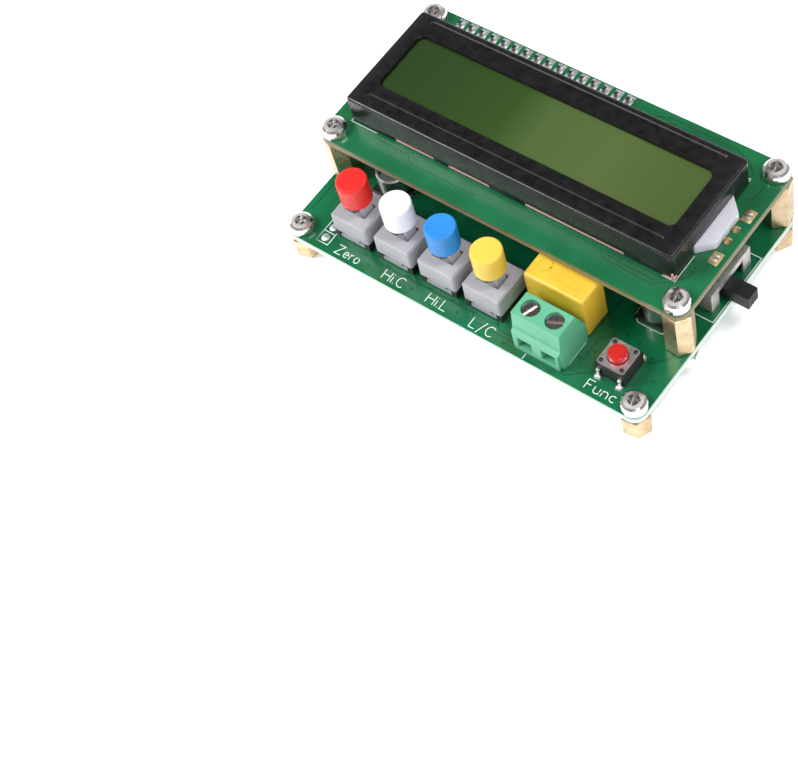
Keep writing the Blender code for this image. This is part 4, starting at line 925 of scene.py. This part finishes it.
def board_pads():
    """Tinned test pads in the printed box at the front left corner."""
    bm = bmesh.new()
    for x, y in ((-32.1, -29.75), (-32.1, -27.25)):
        px, py = spot(x, y)
        profile = ((0.85 * MM, -0.01 * MM), (0.82 * MM, 0.05 * MM), (0.45 * MM, 0.16 * MM), (0, 0.2 * MM))
        add_turned(bm, px, py, MAIN_TOP, profile, 18)
    finished("tinned_test_pads", bm, SOLDER)


def small_key_details():
    """Rivets through the small push button's steel cover, and its four legs in solder."""
    low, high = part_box("function_switch_cover")
    middle = (low + high) / 2
    rivets, legs, solder = bmesh.new(), bmesh.new(), bmesh.new()
    for sx in (-1, 1):
        for sy in (-1, 1):
            profile = ((0.42, -0.1), (0.42, 0.1), (0.3, 0.2), (0.0, 0.24))
            add_turned(
                rivets,
                middle.x + sx * 2.15 * MM,
                middle.y + sy * 2.15 * MM,
                high.z,
                scaled(profile, 1),
                14,
            )
            leg = (middle.x + sx * 2.25 * MM, middle.y + sy * 3.3 * MM)
            add_box(legs, (*leg, MAIN_TOP + 1.0 * MM), (0.7 * MM, 0.3 * MM, 1.7 * MM), edge=0.08 * MM)
            add_box(
                legs, (leg[0], leg[1] - sy * 0.2 * MM, MAIN_TOP + 1.85 * MM), (0.7 * MM, 0.6 * MM, 0.25 * MM),
                edge=0.08 * MM,
            )
            drop = ((0.95, 0.0), (0.86, 0.3), (0.62, 0.58), (0.38, 0.72), (0.0, 0.76))
            add_turned(solder, leg[0], leg[1] + sy * 0.25 * MM, MAIN_TOP, scaled(drop, 0.85), 16)
    finished("small_key_rivets", rivets, BLACK_POLYAMIDE)
    finished("small_key_legs", legs, TINNED_STEEL)
    finished("small_key_solder", solder, SOLDER)


LEG = (  # each leg's three lengths: distance out, height, length and thickness in millimetres
    (0.25, 0.62, 0.5, 0.14),
    (0.62, 0.12, 0.5, 0.14),
    (0.46, 0.36, 0.14, 0.6),
)


def chip_legs():
    """Gull-wing legs on the four sides of the square chip."""
    low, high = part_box("microcontroller")
    middle = (low + high) / 2
    half = (high.x - low.x) / 2
    legs = bmesh.new()
    for side in range(4):
        turn = side * pi / 2
        for i in range(8):
            along = (i - 3.5) * 0.8 * MM
            for reach, drop, length, tall in LEG:
                out = Vector((half + reach * MM, along, 0))
                out.rotate(Matrix.Rotation(turn, 3, "Z"))
                centre = (middle.x + out.x, middle.y + out.y, MAIN_TOP + drop * MM + 0.05 * MM)
                add_box(legs, centre, (length * MM, 0.36 * MM, tall * MM), turn)
    finished("chip_legs", legs, TINNED_STEEL)


CHIP_PARTS = (  # x, y and quarter turns of the small parts behind the keys
    (-20.5, -7.6, 0), (-17.2, -7.6, 0), (-13.6, -9.4, 1), (-10.4, -8.8, 1), (-7.4, -8.8, 1),
    (-3.6, -8.6, 0), (-0.2, -8.6, 0), (3.4, -8.4, 1), (5.8, -8.4, 1), (8.0, -6.6, 0),
    (-22.6, -4.4, 1), (-19.8, -3.4, 1), (-16.6, -2.6, 0), (0.2, -2.2, 1), (3.0, -2.6, 1),
    (5.6, -2.2, 1), (-14.4, -5.4, 0), (21.2, -6.4, 1), (23.4, -6.4, 1), (20.6, 1.4, 0), (20.6, 3.6, 0),
    (-24.8, 2.4, 0), (-24.8, 4.6, 0), (6.4, 5.0, 1),
)


def chip_parts():
    """Chip resistors and capacitors of 2 by 1.25 mm, soldered at both ends, between the keys and the chip."""
    black, tan, ends, fillets = bmesh.new(), bmesh.new(), bmesh.new(), bmesh.new()
    for i, (x, y, quarter) in enumerate(CHIP_PARTS):
        px, py = spot(x, y)
        turn = quarter * pi / 2
        tall = (0.5 if i % 2 else 0.8) * MM
        body = black if i % 2 else tan
        add_box(body, (px, py, MAIN_TOP + tall / 2 + 0.05 * MM), (1.3 * MM, 1.22 * MM, tall), turn, 0.05 * MM)
        for sign in (-1, 1):
            out = Vector((sign * 0.85 * MM, 0, 0))
            out.rotate(Matrix.Rotation(turn, 3, "Z"))
            centre = (px + out.x, py + out.y, MAIN_TOP + tall / 2 + 0.06 * MM)
            add_box(ends, centre, (0.42 * MM, 1.26 * MM, tall + 0.03 * MM), turn, 0.08 * MM)
            foot = (px + out.x * 1.35, py + out.y * 1.35, MAIN_TOP + 0.1 * MM)
            add_box(fillets, foot, (0.7 * MM, 1.3 * MM, 0.24 * MM), turn, 0.1 * MM)
    finished("chip_resistors", black, CHIP_EPOXY)
    finished("chip_capacitors", tan, TAN_CERAMIC)
    finished("chip_part_ends", ends, TINNED_STEEL)
    finished("chip_part_fillets", fillets, SOLDER)


def can_marks():
    """The painted half-moon that marks the negative side on top of each can, and its two tinned tabs."""
    marks, tabs = bmesh.new(), bmesh.new()
    for side in SIDES:
        low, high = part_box("electrolytic_capacitor_" + side)
        middle = (low + high) / 2
        made = bmesh.ops.create_circle(
            marks,
            cap_ends=True,
            segments=40,
            radius=2.55 * MM,
            matrix=Matrix.Translation((middle.x, middle.y, high.z + 0.004 * MM)),
        )
        geom = made["verts"] + edges_of(made["verts"])
        geom += list({f for v in made["verts"] for f in v.link_faces})
        bmesh.ops.bisect_plane(
            marks,
            geom=geom,
            dist=1e-7,
            plane_co=middle - Vector((1.1 * MM, 0, 0)),
            plane_no=(1, 0, 0),
            clear_outer=True,
        )
        for sign in (-1, 1):
            place = (middle.x + sign * 3.3 * MM, middle.y, MAIN_TOP + 0.14 * MM)
            add_box(tabs, place, (1.2 * MM, 0.8 * MM, 0.2 * MM), edge=0.05 * MM)
    faces = list(marks.faces)
    bmesh.ops.solidify(marks, geom=faces, thickness=-0.02 * MM)
    finished("can_marks", marks, CHIP_EPOXY)
    finished("can_tabs", tabs, SOLDER)


def coil_winding():
    """Enamelled copper wire wound round the inductor's core."""
    low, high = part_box("reference_inductor")
    middle = (low + high) / 2
    bm = bmesh.new()
    radius = 2.45 * MM
    base = low.z + (high.z - low.z) * 0.24
    rise = (high.z - low.z) * 0.52
    turns, steps = 16, 24
    made = bmesh.ops.create_circle(
        bm,
        segments=6,
        radius=0.17 * MM,
        matrix=Matrix.Translation((middle.x + radius, middle.y, base)) @ Matrix.Rotation(pi / 2, 4, "X"),
    )
    bmesh.ops.spin(
        bm,
        geom=made["verts"] + edges_of(made["verts"]),
        cent=middle,
        axis=(0, 0, 1),
        dvec=(0, 0, rise / (turns * steps)),
        angle=2 * pi * turns,
        steps=turns * steps,
        use_duplicate=False,
    )
    finished("copper_winding", bm, COPPER)


def capacitor_relief():
    """A moulded line and ring on top of the film capacitor, each a thin bead."""
    low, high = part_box("film_capacitor")
    middle = (low + high) / 2
    bm = bmesh.new()
    level = high.z - 0.02 * MM
    ring = arc(middle.x - 3.9 * MM, middle.y + 0.25 * MM, 1.25 * MM, 1.25 * MM, 0, 360, 24)
    add_ribbon(bm, ring, 0.22 * MM, level, 0.13 * MM)
    line = [(middle.x - 1.6 * MM, middle.y - 1.35 * MM), (middle.x + 4.2 * MM, middle.y - 1.35 * MM)]
    add_ribbon(bm, line, 0.22 * MM, level, 0.13 * MM)
    finished("film_capacitor_relief", bm, YELLOW_BOX)


LEAD_SPREADS = {  # millimetres from the middle of the part to each of its two leads
    "terminal_housing": 2.54,
    "film_capacitor": 5.0,
    "reference_inductor": 2.0,
    "crystal": 2.44,
}


def joints_below():
    """Solder cones and cut leads on the underside of the main board, under every part with leads."""
    solder, leads = bmesh.new(), bmesh.new()
    places = [(x, HEADER_Y, 0.8) for x in HEADER_XS]
    for name in SWITCHES:
        low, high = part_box(name + "_switch_base")
        middle = (low + high) / 2
        for a in (-2.54, 0, 2.54):
            places += [(middle.x + a * MM, middle.y + b * MM, 0.85) for b in (-1.25, 1.25)]
    for node, spread in LEAD_SPREADS.items():
        low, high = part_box(node)
        middle = (low + high) / 2
        places += [(middle.x + sign * spread * MM, middle.y, 1.1) for sign in (-1, 1)]
    low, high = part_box("power_switch_can")
    middle = (low + high) / 2
    places += [(middle.x - 1.0 * MM, middle.y + b * MM, 1.0) for b in (-2.54, 0, 2.54)]
    for x, y, size in places:
        add_turned(solder, x, y, MAIN_BOTTOM, scaled(CONE, size), 12, flip=-1)
        add_disc(leads, x, y, MAIN_BOTTOM - 1.35 * size * MM, 0.28 * MM, 0.9 * MM, 8)
    finished("solder_below", solder, SOLDER)
    finished("cut_leads_below", leads, TINNED_STEEL)


def socket_contacts():
    """Spring contacts in the slots of the header socket, seen from the side as tinned strips."""
    bm = bmesh.new()
    low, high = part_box("header_socket")
    for x in HEADER_XS:
        for sign in (-1, 1):
            y = (low.y + high.y) / 2 + sign * ((high.y - low.y) / 2 + 0.01 * MM)
            place = (x, y, MAIN_TOP + 0.5 * MM)
            add_box(bm, place, (0.6 * MM, 0.12 * MM, 0.7 * MM), edge=0.03 * MM)
    finished("socket_feet", bm, TINNED_STEEL)


TAN_CERAMIC = moulded("tan_ceramic", "b79a72", "a58860", roughness=0.5, grain=0.2)
# Copper wire under clear amber enamel, glossy
COPPER = metal("enamelled_copper", "c8753f", "a95a2c", 0.22, patch=1.0)

display_frame()
slot_linings()
squeezed_corner()
frame_lugs()
header_joints()
display_board_marks()
light_leads()
drivers_below()
key_labels()
main_board_marks()
vias()
board_pads()
small_key_details()
chip_legs()
chip_parts()
can_marks()
coil_winding()
capacitor_relief()
joints_below()
socket_contacts()


# Studio ---------------------------------------------------------------


def soft_light(name, place, aim, size, power, tint="ffffff"):
    """A square area light that points at a place."""
    data = bpy.data.lights.new(name, "AREA")
    data.shape = "RECTANGLE"
    data.size, data.size_y = size
    data.energy = power
    data.color = linear(tint)[:3]
    lamp = bpy.data.objects.new(name, data)
    lamp.location = place
    lamp.rotation_euler = (Vector(aim) - Vector(place)).to_track_quat("-Z", "Y").to_euler()
    bpy.context.scene.collection.objects.link(lamp)


def studio():
    """A white floor, a dim surround with a black flag over its back left, and a soft key light."""
    bm = bmesh.new()
    bmesh.ops.create_grid(bm, x_segments=2, y_segments=2, size=1.6)
    mesh = bpy.data.meshes.new("floor")
    bm.to_mesh(mesh)
    bm.free()
    material, tree, shader, place = start("lit_white_acrylic", Roughness=0.8)
    cloud = add_node(
        tree, "ShaderNodeTexNoise", {"Vector": place, "Scale": per_mm(180), "Detail": 2.0}
    )
    tint = ramp(tree, cloud.outputs["Fac"], (0.3, "fafafb"), (0.7, "fdfdfd"))
    tree.links.new(tint, shader.inputs["Base Color"])
    tree.links.new(tint, shader.inputs["Emission Color"])
    shader.inputs["Emission Strength"].default_value = 0.4
    mesh.materials.append(material)
    floor = bpy.data.objects.new("floor", mesh)
    bpy.context.scene.collection.objects.link(floor)

    world = bpy.data.worlds.new("surround")
    bpy.context.scene.world = world
    world.use_nodes = True
    tree = world.node_tree
    ground = tree.nodes["Background"]
    sky = add_node(tree, "ShaderNodeTexCoord").outputs["Generated"]
    toward = (-0.416, 0.412, 0.813)
    near = add_node(
        tree, "ShaderNodeVectorMath", {0: sky, 1: toward}, operation="DOT_PRODUCT"
    ).outputs["Value"]
    shade = ramp(tree, near, (0.0, 0.3), (0.55, 0.34), (0.8, 0.75), (0.95, 0.75), (0.98, 0.05))
    tree.links.new(shade, ground.inputs["Color"])
    ground.inputs["Strength"].default_value = 1.0

    soft_light("key", (-0.34, -0.26, 0.46), (0, 0, 0.01), (0.26, 0.26), 3.2)
    soft_light("overhead", (0.24, 0.1, 0.56), (0, 0, 0.01), (0.2, 0.2), 1.5)
    soft_light("fill", (0.5, -0.3, 0.3), (0, 0, 0.01), (0.2, 0.3), 0.8)


def camera():
    """The camera, as a maker would stand over the right front corner of the meter."""
    data = bpy.data.cameras.new("camera")
    data.lens = 85.6416
    data.sensor_width = 36.0
    data.clip_start, data.clip_end = 0.01, 10.0
    made = bpy.data.objects.new("camera", data)
    made.location = (0.14749262, -0.14583033, 0.28786554)
    made.rotation_euler = (radians(31.4123202), radians(10.8229924), radians(37.7436959))
    bpy.context.scene.collection.objects.link(made)
    bpy.context.scene.camera = made


studio()
camera()
bpy.context.scene.view_settings.view_transform = "Standard"
